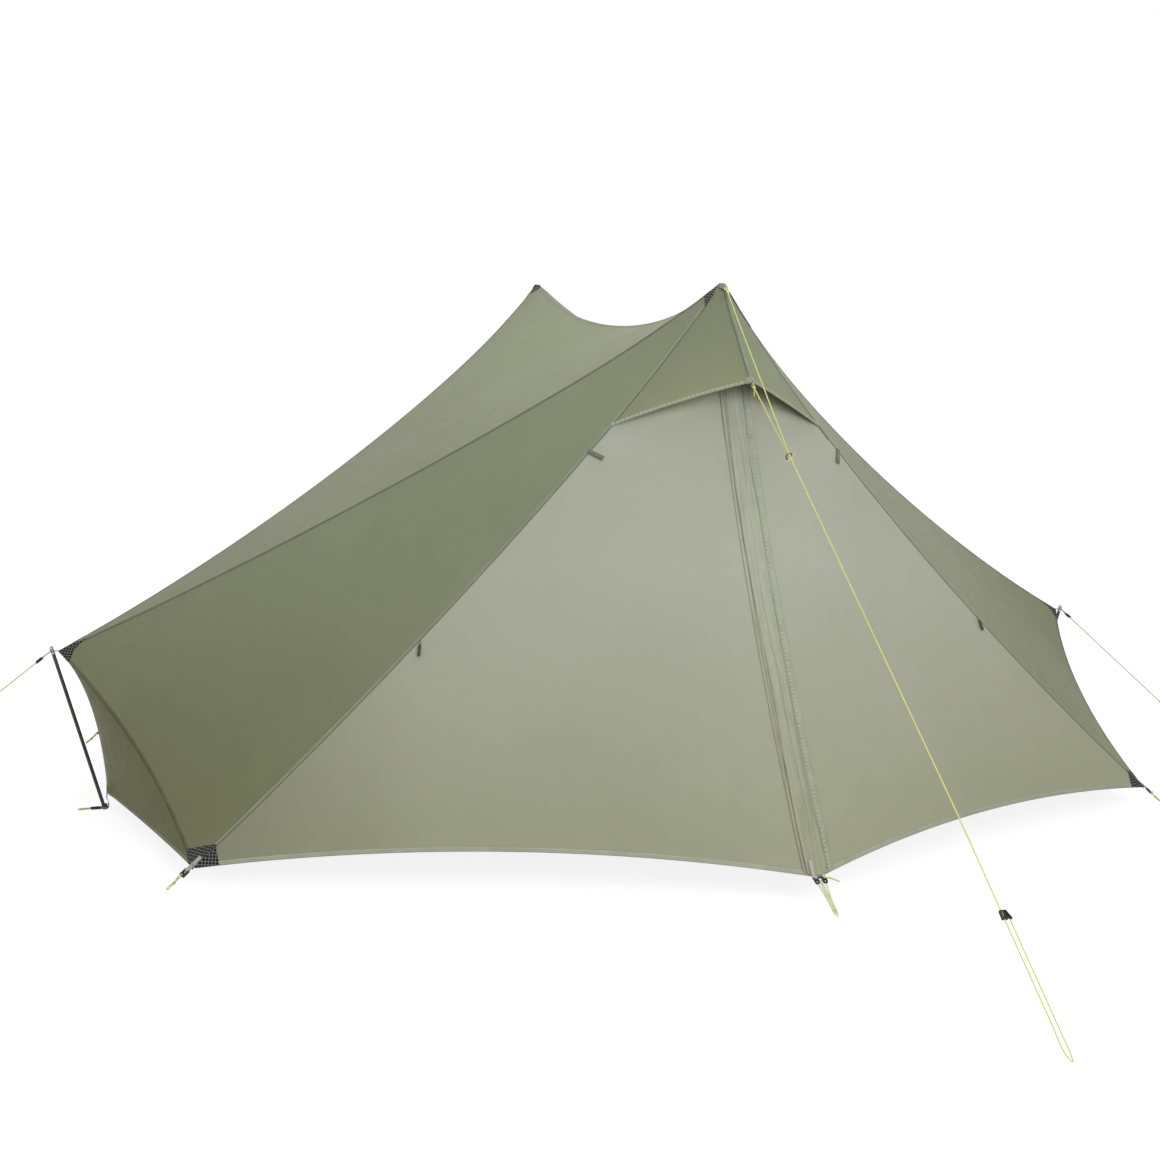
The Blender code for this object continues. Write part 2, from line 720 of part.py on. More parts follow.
def build_visor(fly, end, finishes):
    """The hood over the door: two slopes that meet on a raised middle seam."""
    apex = mirrored(FLY_CORNERS["PF"], 1, end)
    middle = visor_middle(end)
    rows = []
    for row in range(VISOR_ROW + 1):
        share = PEAK_ROWS[row] / PEAK_ROWS[VISOR_ROW]
        left = fly.seam[1, end][("PF", "FL")][row]
        centre = apex + (middle - apex) * share
        if row == 0:
            left = apex + unit(fly.seam[1, end][("PF", "FL")][1] - apex) * APEX_CUT
            centre = apex + unit(middle - apex) * APEX_CUT
        line = []
        for k in range(VISOR_COLUMNS + 1):
            part = k / VISOR_COLUMNS
            rise = VISOR_HEM_RISE * share * 4 * part * (1 - part)
            line.append(left + (centre - left) * part + unit(apex - middle) * rise)
        right = [p * np.array((-1.0, 1.0, 1.0)) for p in line[:-1]]
        rows.append(line + right[::-1])
    hood = Surface(SURFACE_CENTRE)
    for upper, lower in zip(rows, rows[1:]):
        for k in range(len(upper) - 1):
            a, b, c, d = upper[k], lower[k], lower[k + 1], upper[k + 1]
            if k < VISOR_COLUMNS:
                quad(hood, a, b, c, d, "hood")
            else:
                quad(hood, d, c, b, a, "hood")
    hood.finish()
    for row in rows:
        for p in (row[0], row[-1]):
            key = tuple(np.round(p, MERGE) + 0.0)
            shared = fly.mitre[fly.lookup[key]]
            hood.mitre[hood.lookup[key]] = shared / (shared @ unit(hood.mitre[hood.lookup[key]]))
    add_shell(f"{end_word(end)}_visor", hood.pick("hood"), hood.place, hood.mitre,
              finishes["fly"])
    return hood


def peak_rays(fly, end):
    """Crease directions at a peak, in order round it: ridge, left seams, visor, right seams."""
    apex = mirrored(FLY_CORNERS["PF"], 1, end)
    left = fly.seam[1, end]
    right = fly.seam[-1, end]
    middle = visor_middle(end)
    ways = [left[("PF", "R")][1], left[("PF", "LT")][1], left[("PF", "FL")][1], middle,
            right[("PF", "FL")][1], right[("PF", "LT")][1]]
    return apex, [unit(p - apex) for p in ways]


def build_peak_patch(fly, end, finishes):
    """Black patch over the apex, with the domed cap that closes it."""
    apex, rays = peak_rays(fly, end)
    radii = [PATCH_RIDGE, PATCH_SEAM, PATCH_VISOR, PATCH_VISOR, PATCH_VISOR, PATCH_SEAM]
    normals = fan_normals(rays, np.array((0.0, 0.0, 1.0)))
    low, flat = FLAT_GAP, FLAT_GAP + PATCH
    layers = [(0, low, CAP_RISE), (CAP_RADIUS, low, CAP_RISE), (CAP_RIM, low, flat),
              (None, low, flat)]
    points, faces = fan_mesh(apex, rays, radii, normals, layers)
    add_mesh(f"{end_word(end)}_peak_patch", points, turned_out(points, faces), finishes["patch"])


def build_tip_patch(fly, side, finishes):
    """Black patch wrapped round the tip of the fly beside a strut; returns its outer point."""
    apex = mirrored(FLY_CORNERS["LT"], side, 1)
    front = fly.seam[side, 1]
    back = fly.seam[side, -1]
    ways = [front[("R", "LT")][-2], front[("PF", "LT")][-2], front[("LT", "FL")][1],
            front[("LT", "ML")][1], back[("LT", "FL")][1], back[("PF", "LT")][-2]]
    rays = [unit(p - apex) for p in ways]
    radii = [TIP_PATCH_ROOF, TIP_PATCH_SEAM, TIP_PATCH_END, TIP_PATCH_ROOF, TIP_PATCH_END,
             TIP_PATCH_SEAM]
    normals = []
    for k in range(len(rays)):
        following = rays[(k + 1) % len(rays)]
        normal = unit(np.cross(rays[k], following))
        outward = normal @ (apex + PATCH_BEND * (rays[k] + following) - fly.centre)
        normals.append(normal if outward > 0 else -normal)
    low, flat = FLAT_GAP, FLAT_GAP + PATCH
    layers = [(0, low, flat), (PATCH_BEND, low, flat), (None, low, flat)]
    points, faces = fan_mesh(apex, rays, radii, normals, layers)
    add_mesh(f"{side_word(side)}_tip_patch", points, turned_out(points, faces),
             finishes["patch"])
    return points[1]


def build_corner(fly, side, end, finishes):
    """Ground corner: patch on the side and end panels, webbing and line lock in one piece."""
    apex = mirrored(FLY_CORNERS["FL"], side, end)
    seam = fly.seam[side, end]
    ways = [seam[("ML", "FL")][-2], seam[("LT", "FL")][-2], seam[("PF", "FL")][-2]]
    rays = [unit(p - apex) for p in ways]
    rays[2] = unit(rays[2] * (1 - CORNER_PATCH_OFF_SEAM) + rays[1] * CORNER_PATCH_OFF_SEAM)
    normals = []
    for k in range(2):
        normal = unit(np.cross(rays[k], rays[k + 1]))
        normals.append(normal if normal @ (apex - fly.centre) > 0 else -normal)
    radii = [CORNER_PATCH_HEM, CORNER_PATCH_END, CORNER_PATCH_SEAM]
    low, flat = FLAT_GAP, FLAT_GAP + PATCH
    layers = [(0, low, flat), (PATCH_BEND, low, flat), (None, low, flat)]
    points, faces = fan_mesh(apex, rays, radii, normals, layers, closed=False)
    name = f"{end_word(end)}_{side_word(side)}_corner"
    main = add_mesh(f"{name}_tie_out", points, turned_out(points, faces), finishes["patch"])
    outward = -rays[2]
    beside = unit(rays[1] - rays[2] * (rays[1] @ rays[2]))
    half = WEBBING_WIDTH / 2
    line = apex + normals[1] * (flat + WEBBING / 2 - LAP) + beside * (half + FLAT_GAP)
    knee = line + outward * CORNER_STRAP_OUT
    lock = knee + outward * LOCK_LENGTH
    join(main, add_bar(f"{name}_webbing", line - outward * CORNER_STRAP_IN, knee + outward * LAP,
                       beside, WEBBING_WIDTH, WEBBING, finishes["webbing"]))
    join(main, add_bar(f"{name}_lock", knee, lock, beside, LOCK_WIDTH, LOCK_THICK,
                       finishes["black"]))
    return lock, outward


def lathe(profile, sides):
    """Points and faces of a solid turned about Z, from (radius, height) going up, ends closed."""
    points = []
    for radius, height in profile:
        for k in range(sides):
            turn = 2 * pi * k / sides
            points.append(np.array((radius * cos(turn), radius * sin(turn), height)))
    faces = []
    for row in range(len(profile) - 1):
        for k in range(sides):
            nxt = (k + 1) % sides
            faces.append((row * sides + k, row * sides + nxt,
                          (row + 1) * sides + nxt, (row + 1) * sides + k))
    faces.append(tuple(range(sides))[::-1])
    top = (len(profile) - 1) * sides
    faces.append(tuple(top + k for k in range(sides)))
    return points, faces


def tube(outline, sides):
    """A turned ring: the outline is a closed loop of (radius, height)."""
    points = []
    for radius, height in outline:
        for k in range(sides):
            turn = 2 * pi * k / sides
            points.append(np.array((radius * cos(turn), radius * sin(turn), height)))
    faces = []
    count = len(outline)
    for row in range(count):
        for k in range(sides):
            nxt = (k + 1) % sides
            after = (row + 1) % count
            faces.append((row * sides + k, row * sides + nxt, after * sides + nxt,
                          after * sides + k))
    return points, faces


def add_turned(name, mesh, base, finish, origin=None):
    points, faces = mesh
    placed = [p + base for p in points]
    return add_mesh(name, placed, turned_out(placed, faces), finish, smooth=True,
                    origin=base if origin is None else origin)


def strut_ends(side):
    """The middle of a strut's foot on the ground, its top beside the tip, and the way up it."""
    foot = mirrored((-END_HEM_X - STRUT_FOOT_OUT, 0.0, 0.0), side, 1)
    top = mirrored((-TIP_X - STRUT_TOP_OUT, 0.0, TIP_Z + STRUT_TOP_UP), side, 1)
    return foot, top, unit(top - foot)


def leaned(mesh, base, along):
    """Put a shape that was turned about Z onto a line in the plane y = 0."""
    across = np.array((0.0, 1.0, 0.0))
    third = np.cross(along, across)
    points, faces = mesh
    placed = [base + third * p[0] + across * p[1] + along * p[2] for p in points]
    return placed, turned_out(placed, faces)


def build_strut(side, finishes):
    """Carbon strut: a straight tube that leans out, with a light tip and a rubber foot."""
    foot, top, along = strut_ends(side)
    length = np.linalg.norm(top - foot)
    neck = length - STRUT_TIP_LENGTH
    profile = [(STRUT_RADIUS, STRUT_PAD_HEIGHT / 2), (STRUT_RADIUS, neck),
               (STRUT_TIP_RADIUS, neck + LAP), (STRUT_TIP_RADIUS, length - EDGE),
               (STRUT_TIP_RADIUS - EDGE, length)]
    points, faces = leaned(lathe(profile, ROUND_SIDES), foot, along)
    main = add_mesh(f"{side_word(side)}_strut", points, faces, finishes["carbon"], smooth=True,
                    origin=foot)
    pad = lathe([(STRUT_PAD_RADIUS - LAP, 0.0), (STRUT_PAD_RADIUS, EDGE),
                 (STRUT_PAD_RADIUS, STRUT_PAD_HEIGHT)], ROUND_SIDES)
    join(main, add_turned(f"{side_word(side)}_strut_pad", pad, foot, finishes["black"]))


def strap_ring(hole, height):
    """A turned loop of webbing, about its own middle."""
    outline = [(hole, -height / 2), (hole + WEBBING, -height / 2), (hole + WEBBING, height / 2),
               (hole, height / 2)]
    return tube(outline, ROUND_SIDES)


def build_foot_strap(side, finishes):
    """Strap from the end hem to a loop round the strut's foot, with the peg loop's line lock."""
    name = f"{side_word(side)}_foot_strap"
    foot = strut_ends(side)[0]
    out = np.array((-1.0 * side, 0.0, 0.0))
    wide = np.array((0.0, 1.0, 0.0))
    hole = STRUT_PAD_RADIUS + FIT_GAP
    middle = foot + np.array((0.0, 0.0, FOOT_LOOP_LOW + FOOT_LOOP_HEIGHT / 2))
    placed = [middle + p for p in strap_ring(hole, FOOT_LOOP_HEIGHT)[0]]
    faces = turned_out(placed, strap_ring(hole, FOOT_LOOP_HEIGHT)[1])
    main = add_mesh(name, placed, faces, finishes["webbing"])
    back = middle - out * (hole + LAP + WEBBING / 2)
    hem = back * np.array((1.0, 1.0, 0.0)) + np.array((0.0, 0.0, END_HEM_Z - 2 * FLAT_GAP))
    join(main, add_bar(f"{name}_tape", back, hem, wide, WEBBING_WIDTH, WEBBING,
                       finishes["webbing"]))
    start = middle + out * (hole + WEBBING - LAP)
    join(main, add_bar(f"{name}_lock", start, start + out * FOOT_LOCK_LENGTH, wide,
                       END_LOCK_WIDTH, LOCK_THICK, finishes["black"]))


def build_end_webbing(side, patch_tip, finishes):
    """Webbing from the fly's tip to a loop round the strut's head, and on to the line lock."""
    name = f"{side_word(side)}_end_line_lock"
    _, top, along = strut_ends(side)
    wide = np.array((0.0, 1.0, 0.0))
    hole = STRUT_TIP_RADIUS + FIT_GAP
    level = top - along * HEAD_LOOP_DOWN
    points, faces = leaned(strap_ring(hole, HEAD_LOOP_HEIGHT), level, along)
    main = add_mesh(name, points, faces, finishes["webbing"])
    inward = unit(patch_tip * np.array((1.0, 0.0, 1.0)) - level)
    inward_end = patch_tip * np.array((1.0, 0.0, 1.0)) - inward * 2 * FLAT_GAP
    join(main, add_bar(f"{name}_tip_strap", level + inward * (hole + LAP), inward_end, wide,
                       HEAD_STRAP_WIDTH, WEBBING, finishes["webbing"]))
    peg = np.array((-END_GUY_FOOT_X * side, 0.0, 0.0))
    down = unit(peg - level)
    start = level + down * (hole + LAP)
    knee = start + down * END_STRAP
    lock = knee + down * LOCK_LENGTH
    join(main, add_bar(f"{name}_guy_strap", start, knee + down * LAP, wide, END_STRAP_WIDTH,
                       WEBBING, finishes["webbing"]))
    join(main, add_bar(f"{name}_body", knee, lock, wide, END_LOCK_WIDTH, LOCK_THICK,
                       finishes["black"]))
    return lock, down


def smooth_route(route, step):
    """Points along one smooth curve through a route's own points, about a step apart."""
    points = [np.array(p, float) for p in route]
    ends = [2 * points[0] - points[1]] + points + [2 * points[-1] - points[-2]]
    made = []
    for k in range(1, len(ends) - 2):
        a, b, c, d = ends[k - 1:k + 3]
        span = np.linalg.norm(c - b)
        pieces = max(1, round(span / step))
        before = (c - a) * span / max(np.linalg.norm(c - b) + np.linalg.norm(b - a), 1e-9)
        after = (d - b) * span / max(np.linalg.norm(d - c) + np.linalg.norm(c - b), 1e-9)
        for n in range(pieces):
            t = n / pieces
            made.append((2 * t ** 3 - 3 * t ** 2 + 1) * b + (t ** 3 - 2 * t ** 2 + t) * before
                        + (-2 * t ** 3 + 3 * t ** 2) * c + (t ** 3 - t ** 2) * after)
    made.append(points[-1])
    return made


def add_cord(name, route, finish, step=CORD_STEP):
    """A cord as a bevelled curve with closed ends."""
    line = smooth_route(route, step)
    curve = bpy.data.curves.new(name, "CURVE")
    curve.dimensions = "3D"
    curve.bevel_depth = CORD_RADIUS
    curve.bevel_resolution = 2
    curve.use_fill_caps = True
    spline = curve.splines.new("POLY")
    spline.points.add(len(line) - 1)
    for point, place in zip(spline.points, line):
        point.co = (*place, 1.0)
    thing = bpy.data.objects.new(name, curve)
    bpy.context.collection.objects.link(thing)
    thing.data.materials.append(finish)
    return thing


def guy_geometry(fly, end):
    """Start of the main guy on the cap, its foot at the peg and the unit way down."""
    apex, rays = peak_rays(fly, end)
    normals = fan_normals(rays, np.array((0.0, 0.0, 1.0)))
    mitre = mitre_of([normals[2], normals[3]])
    start = apex + rays[3] * CAP_RIM + mitre * (FLAT_GAP + PATCH + FIT_GAP + CORD_RADIUS)
    foot = np.array((0.0, -GUY_FOOT_Y * end, CORD_RADIUS + PEG_LIFT))
    return start, foot, unit(foot - start)


def tensioner_middle(fly, end):
    _, foot, down = guy_geometry(fly, end)
    return foot - down * TENSIONER_UP


def build_main_guy(fly, end, finishes):
    """Main guy: down to its peg, round it and back up to the tensioner."""
    word = end_word(end)
    start, foot, down = guy_geometry(fly, end)
    middle = tensioner_middle(fly, end)
    across = np.array((1.0, 0.0, 0.0))
    half = TENSIONER_LENGTH / 2
    second = across * RETURN_SPACING
    below = middle + down * (half + CORD_END) + second
    round_peg = foot + second / 2 + np.array((0.0, -PEG_LOOP * end, 0.0))
    route = [start, start + down * LINE_STRAIGHT, middle - down * LINE_STRAIGHT,
             middle + down * LINE_STRAIGHT, foot - down * LINE_STRAIGHT, foot - down * LINE_BEND,
             round_peg, foot + second - down * LINE_BEND, foot + second - down * LINE_STRAIGHT,
             below + down * LINE_STRAIGHT, below]
    add_cord(f"{word}_guy_line", route, finishes["cord"])
    build_tensioner(word, middle, down, finishes)
    build_visor_cord(end, start, foot, finishes)


def build_tensioner(word, middle, down, finishes):
    """Flat plastic tensioner with a bore for the guy that runs through it."""
    across = np.array((1.0, 0.0, 0.0))
    up = np.cross(down, across)
    half = TENSIONER_LENGTH / 2
    corners = [middle + down * half * i + across * j + up * TENSIONER_THICK / 2 * k
               for i in (-1, 1) for j in (-TENSIONER_LEFT, TENSIONER_RIGHT) for k in (-1, 1)]
    body = add_box_points(f"{word}_guy_tensioner", corners, finishes["black"], middle)
    radius = CORD_RADIUS + BORE_GAP
    points, faces = lathe([(radius, -half - EDGE), (radius, half + EDGE)], ROUND_SIDES)
    placed = [middle + across * p[0] + up * p[1] + down * p[2] for p in points]
    cut(body, add_mesh(f"{word}_tensioner_bore", placed, turned_out(placed, faces),
                       finishes["black"]))


def build_visor_cord(end, start, foot, finishes):
    """Short cord from the visor's edge to the ring on the main guy."""
    edge = visor_middle(end)
    tab = edge + np.array((0.0, -VISOR_TAB_OUT * end, -VISOR_TAB_DROP))
    reach = abs(edge[1]) + RING_OUT - abs(start[1])
    down = unit(foot - start)
    ring = start + down * reach / abs(down[1])
    under = unit(np.array((0.0, 0.0, -1.0)) - down * (-down[2]))
    near = ring + under * (2 * CORD_RADIUS + CORD_END)
    add_cord(f"{end_word(end)}_visor_cord", [tab, (tab + near) / 2, near], finishes["cord"])


def build_door_foot(end, finishes):
    """Two hooks under the foot of the door, and the cord loop that runs from them to the peg."""
    word = end_word(end)
    out = np.array((0.0, -1.0 * end, 0.0))
    across = np.array((1.0, 0.0, 0.0))
    hem = np.array((0.0, -DOOR_FOOT_Y * end, DOOR_FOOT_Z))
    peg = hem + out * DOOR_PEG_OUT
    peg[2] = CORD_RADIUS + PEG_LIFT
    down = unit(peg - hem)
    top = hem + down * (FLAT_GAP + HOOK_BAR_SIZE / 2)
    main = add_bar(f"{word}_door_hooks", top - across * HOOK_BAR / 2, top + across * HOOK_BAR / 2,
                   down, HOOK_BAR_SIZE, HOOK_BAR_SIZE, finishes["black"])
    ends = []
    for turn in (-1, 1):
        first = top + across * turn * HOOK_SPACING / 2 + down * LAP
        join(main, add_bar(f"{word}_hook_{turn + 1}", first, first + down * HOOK_LENGTH, across,
                           HOOK_WIDTH, HOOK_THICK, finishes["black"]))
        ends.append(first + down * (HOOK_LENGTH + CORD_END))
    bend = peg - down * 2 * DOOR_LOOP
    route = [ends[0], (ends[0] + peg) / 2, bend - across * DOOR_LOOP, peg,
             bend + across * DOOR_LOOP, (ends[1] + peg) / 2, ends[1]]
    add_cord(f"{word}_door_cord", route, finishes["cord"], step=2 * DOOR_LOOP)


def build_pole(fly, end, finishes):
    """Trekking pole under a peak: grip, upper shaft with its clamp, and lower shaft."""
    word = end_word(end)
    base = np.array((0.0, -PEAK_Y * end, 0.0))
    _, rays = peak_rays(fly, end)
    normals = fan_normals(rays, np.array((0.0, 0.0, 1.0)))
    drop = max((GRIP_RADIUS + FABRIC + FIT_GAP) / normal[2] for normal in normals)
    dome = PEAK_HEIGHT - drop
    bore = LOWER_RADIUS + TUBE_GAP
    shaft = bore + SHAFT_WALL
    shaft_top = dome - GRIP_CAP
    add_turned(f"{word}_pole_grip", grip_outline(dome, shaft_top, shaft + FIT_GAP), base,
               finishes["foam"])
    clamp = shaft + CLAMP_WALL
    clamp_top = SHAFT_BOTTOM + CLAMP_HEIGHT
    upper = [(bore, SHAFT_BOTTOM), (clamp - EDGE, SHAFT_BOTTOM), (clamp, SHAFT_BOTTOM + EDGE),
             (clamp, clamp_top - EDGE), (clamp - EDGE, clamp_top), (shaft, clamp_top + CLAMP_WALL),
             (shaft, shaft_top), (bore, shaft_top)]
    add_turned(f"{word}_pole_upper_shaft", tube(upper, ROUND_SIDES), base, finishes["aluminium"])
    basket_top = BASKET_HEIGHT + BASKET_THICK
    lower = [(POLE_TIP_RADIUS - EDGE, 0.0), (POLE_TIP_RADIUS, 2 * EDGE),
             (POLE_TIP_RADIUS, POLE_TIP_LENGTH), (LOWER_RADIUS, POLE_TIP_LENGTH + POLE_SHOULDER),
             (BASKET_RADIUS, BASKET_HEIGHT), (BASKET_RADIUS, basket_top),
             (LOWER_RADIUS + EDGE, basket_top + 2 * EDGE), (LOWER_RADIUS, basket_top + POLE_SHOULDER),
             (LOWER_RADIUS, SHAFT_BOTTOM + SHAFT_OVERLAP)]
    add_turned(f"{word}_pole_lower_shaft", lathe(lower, ROUND_SIDES), base, finishes["aluminium"])
    build_lever(base, clamp, end, finishes)


def grip_outline(dome, shaft_top, socket):
    """Foam grip over the shaft, with a round head that stands in the fly's peak."""
    waist = socket + GRIP_WALL
    bottom = dome - GRIP_LENGTH
    outline = [(socket, bottom), (waist, bottom + EDGE)]
    for k in range(1, 4):
        outline.append((waist - GRIP_DIMPLE * (k % 2), bottom + GRIP_LENGTH * k / 5))
    outline.append((GRIP_RADIUS, dome - GRIP_RADIUS))
    outline += [(GRIP_RADIUS * cos(radians(d)), dome + GRIP_RADIUS * sin(radians(d)))
                for d in (0, 20, 40, 60, 75)]
    outline += [(GRIP_VENT, dome + GRIP_RADIUS), (GRIP_VENT, shaft_top + FIT_GAP),
                (socket, shaft_top + FIT_GAP)]
    return tube(outline, ROUND_SIDES)


def lever_pin(base, clamp, end):
    """Middle of the lever's pin, beside the clamp."""
    middle = clamp + FIT_GAP + LEVER_THICK / 2
    turn = radians(LEVER_HALF_ANGLE)
    return base + np.array((middle * cos(turn), middle * sin(turn) * end,
                            SHAFT_BOTTOM + CLAMP_HEIGHT / 2))


def build_lever(base, clamp, end, finishes):
    """Clamp lever: a plate bent round the clamp, hinged on a pin at its end."""
    near = clamp + FIT_GAP
    low = SHAFT_BOTTOM + (CLAMP_HEIGHT - LEVER_HEIGHT) / 2
    angles = [radians(LEVER_HALF_ANGLE * (2 * k / LEVER_STEPS - 1)) for k in range(LEVER_STEPS + 1)]
    outline = [(near * cos(a), near * sin(a)) for a in angles]
    outline += [((near + LEVER_THICK) * cos(a), (near + LEVER_THICK) * sin(a)) for a in angles[::-1]]
    count = len(outline)
    points = [base + np.array((x, y, z)) for z in (low, low + LEVER_HEIGHT) for x, y in outline]
    faces = [tuple(range(count)), tuple(range(count, 2 * count))[::-1]]
    faces += [(k, k + count, (k + 1) % count + count, (k + 1) % count) for k in range(count)]
    add_mesh(f"{end_word(end)}_pole_clamp_lever", points, turned_out(points, faces),
             finishes["black"], origin=lever_pin(base, clamp, end))


def build_floor(finishes):
    """Bathtub floor: a shallow tray whose walls lean out."""
    high_x, high_y = CORNER_X - FLOOR_END_GAP, CORNER_Y - FLOOR_SIDE_GAP
    low_x, low_y = high_x - FLOOR_SLOPE, high_y - FLOOR_SLOPE
    wall = FLOOR_THICK

    def ring(x, y, z):
        return [np.array((sx * x, sy * y, z)) for sx, sy in ((-1, -1), (1, -1), (1, 1), (-1, 1))]

    points = ring(low_x, low_y, 0.0) + ring(high_x, high_y, FLOOR_RIM_Z)
    points += ring(high_x - wall, high_y - wall, FLOOR_RIM_Z) + ring(low_x - wall, low_y - wall, wall)
    faces = [(3, 2, 1, 0), (12, 13, 14, 15)]
    for k in range(4):
        n = (k + 1) % 4
        for a, b in ((0, 4), (4, 8), (8, 12)):
            faces.append((a + k, a + n, b + n, b + k))
    add_mesh("inner_floor", points, turned_out(points, faces), finishes["floor"])


def inner_corners():
    high_x, high_y = CORNER_X - FLOOR_END_GAP, CORNER_Y - FLOOR_SIDE_GAP
    rim = FLOOR_RIM_Z + FLAT_GAP
    peak = PEAK_HEIGHT - INNER_PEAK_DROP
    return {
        "PF": np.array((0.0, INNER_PEAK_IN - PEAK_Y, peak)),
        "R": np.array((0.0, 0.0, peak - INNER_RIDGE_SAG)),
        "LT": np.array((INNER_TIP_IN - TIP_X, 0.0, TIP_Z - INNER_TIP_DROP)),
        "FL": np.array((-high_x, -high_y, rim)),
        "ML": np.array((-high_x, 0.0, rim)),
        "F": np.array((0.0, -high_y, rim)),
    }


def build_inner_mesh(fly, finishes):
    """Mesh body over the floor, with an open doorway to each side and a tape at each peak."""
    corners = inner_corners()
    rim = corners["FL"][2]
    rows = [k / INNER_ROWS for k in range(INNER_ROWS + 1)]
    stress = {key: 1.0 for key in PANEL_STRESS}
    tension = {key: INNER_SEAM_TENSION for key in SEAM_TENSION}
    tension[("FL", "F")] = INNER_HEM_TENSION
    tension[("ML", "FL")] = INNER_HEM_TENSION
    place, _, grids, count = find_form(corners, rows, stress, tension, FORM_STEPS)
    place[place[:, 2] < rim + INNER_SNAP, 2] = rim
    inner = Surface(SURFACE_CENTRE)
    for side in (1, -1):
        for end in (1, -1):
            for name, grid in grids.items():
                add_inner_panel(inner, name, grid, place, count, side, end)
    inner.finish()
    for v, point in enumerate(inner.place):
        if point[2] < rim + FLAT_GAP / 2:
            inner.mitre[v] = inner.mitre[v] * np.array((1.0, 1.0, 0.0))
    points, faces = shell_mesh(inner.pick("mesh"), inner.place, inner.mitre, 0.0, INNER_THICK, 0.0)
    main = add_mesh("inner_mesh", points, faces, finishes["mesh"])
    for end in (1, -1):
        add_hang_tape(main, fly, mirrored(corners["PF"], 1, end), end, finishes)


def add_hang_tape(main, fly, peak, end, finishes):
    """Tape on edge from an inner peak straight up to the underside of the fly's ridge."""
    line = fly.seam[1, end][("PF", "R")]
    row = max(k for k in range(len(line) - 1) if abs(line[k][1]) >= abs(peak[1]))
    before, after = line[row], line[row + 1]
    share = (abs(before[1]) - abs(peak[1])) / (abs(before[1]) - abs(after[1]))
    ridge = before + (after - before) * share
    mitre = fly.mitre[fly.point(before)]
    top = peak + np.array((0.0, 0.0, 1.0)) * (ridge[2] - peak[2])
    top[2] -= mitre[2] * (FABRIC + FLAT_GAP) + WEBBING / 2
    along = unit(after - before) * HANG_TAPE_WIDTH / 2
    across = np.array((WEBBING / 2, 0.0, 0.0))
    low = peak - np.array((0.0, 0.0, HANG_TAPE_WIDTH))
    corners = [p + along * j + across * k for p in (low, top) for j in (-1, 1) for k in (-1, 1)]
    join(main, add_box_points(f"{end_word(end)}_hang_tape", corners, finishes["webbing"]))


def add_inner_panel(inner, name, grid, place, count, side, end):
    """Faces of one panel of a quarter, apart from the doorway's."""
    def corner(row, step):
        return inner.point(mirrored(place[grid[row, step]], side, end))

    for row in range(count):
        for step in range(row + 1):
            open_here = name == "door" and row >= DOORWAY_ROW and step >= DOORWAY_STEP
            label = "doorway" if open_here else "mesh"
            inner.face([corner(row, step), corner(row + 1, step), corner(row + 1, step + 1)], label)
            if step < row:
                inner.face([corner(row, step), corner(row + 1, step + 1), corner(row, step + 1)],
                           label)


def build_end_guy(side, lock_end, finishes):
    """Guy from a strut's head towards its peg, as far as the photograph shows it."""
    lock, down = lock_end
    first = lock + down * CORD_END
    peg = np.array((-END_GUY_FOOT_X * side, 0.0, CORD_RADIUS + PEG_LIFT))
    share = (END_GUY_SHOWN_X[side] - abs(first[0])) / (END_GUY_FOOT_X - abs(first[0]))
    last = first + (peg - first) * share
    add_cord(f"{side_word(side)}_end_guy", [first, (first + last) / 2, last], finishes["cord"],
             step=CORD_STEP / 2)


def build_corner_cord(side, end, lock_end, finishes):
    """Short cord from a ground corner's line lock to its peg."""
    lock, outward = lock_end
    first = lock + outward * CORD_END
    peg = mirrored((-CORNER_X - CORNER_PEG_OUT, -CORNER_Y, CORD_RADIUS + PEG_LIFT), side, end)
    route = [first, first + outward * CORD_STRAIGHT, (first + peg) / 2, peg]
    add_cord(f"{end_word(end)}_{side_word(side)}_corner_cord", route, finishes["cord"],
             step=CORD_STEP / 8)


def build():
    clear_scene()
    finishes = {
        "fly": material("fly_fabric", FLY_GREEN, 0.62),
        "door": material("door_fabric", DOOR_GREEN, 0.6),
        "seam": material("seam_fabric", SEAM_GREEN, 0.65),
        "patch": material("patch_ripstop", BLACK, 0.55),
        "black": material("black_plastic", BLACK, 0.45),
        "carbon": material("carbon_tube", CARBON, 0.32),
        "webbing": material("webbing", WEBBING_GREY, 0.8),
        "cord": material("cord", CORD_GREEN, 0.6),
        "aluminium": material("pole_aluminium", ALUMINIUM, 0.35, 1.0),
        "foam": material("grip_foam", FOAM, 0.85),
        "mesh": material("inner_mesh", MESH_GREY, 0.8),
        "floor": material("floor_fabric", FLOOR_GREY, 0.5),
    }
    fly = build_fly_surface()
    build_panels(fly, finishes)
    for end in (1, -1):
        build_visor(fly, end, finishes)
        build_door_head(fly, end, finishes)
        for side in (1, -1):
            build_leaf(fly, side, end, finishes)
            build_corner_cord(side, end, build_corner(fly, side, end, finishes), finishes)
        build_flap(fly, end, finishes)
        build_slider(fly, end, finishes)
        build_peak_patch(fly, end, finishes)
        build_pole(fly, end, finishes)
        build_main_guy(fly, end, finishes)
        build_door_foot(end, finishes)
    for side in (1, -1):
        patch_tip = build_tip_patch(fly, side, finishes)
        build_strut(side, finishes)
        build_foot_strap(side, finishes)
        build_end_guy(side, build_end_webbing(side, patch_tip, finishes), finishes)
    build_floor(finishes)
    build_inner_mesh(fly, finishes)


build()
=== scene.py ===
"""Looks of the ultralight tent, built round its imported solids. Metres, in the solids' own frame."""

import json
from math import cos, sin, pi, radians

import bpy
import numpy as np
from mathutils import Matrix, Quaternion, Vector


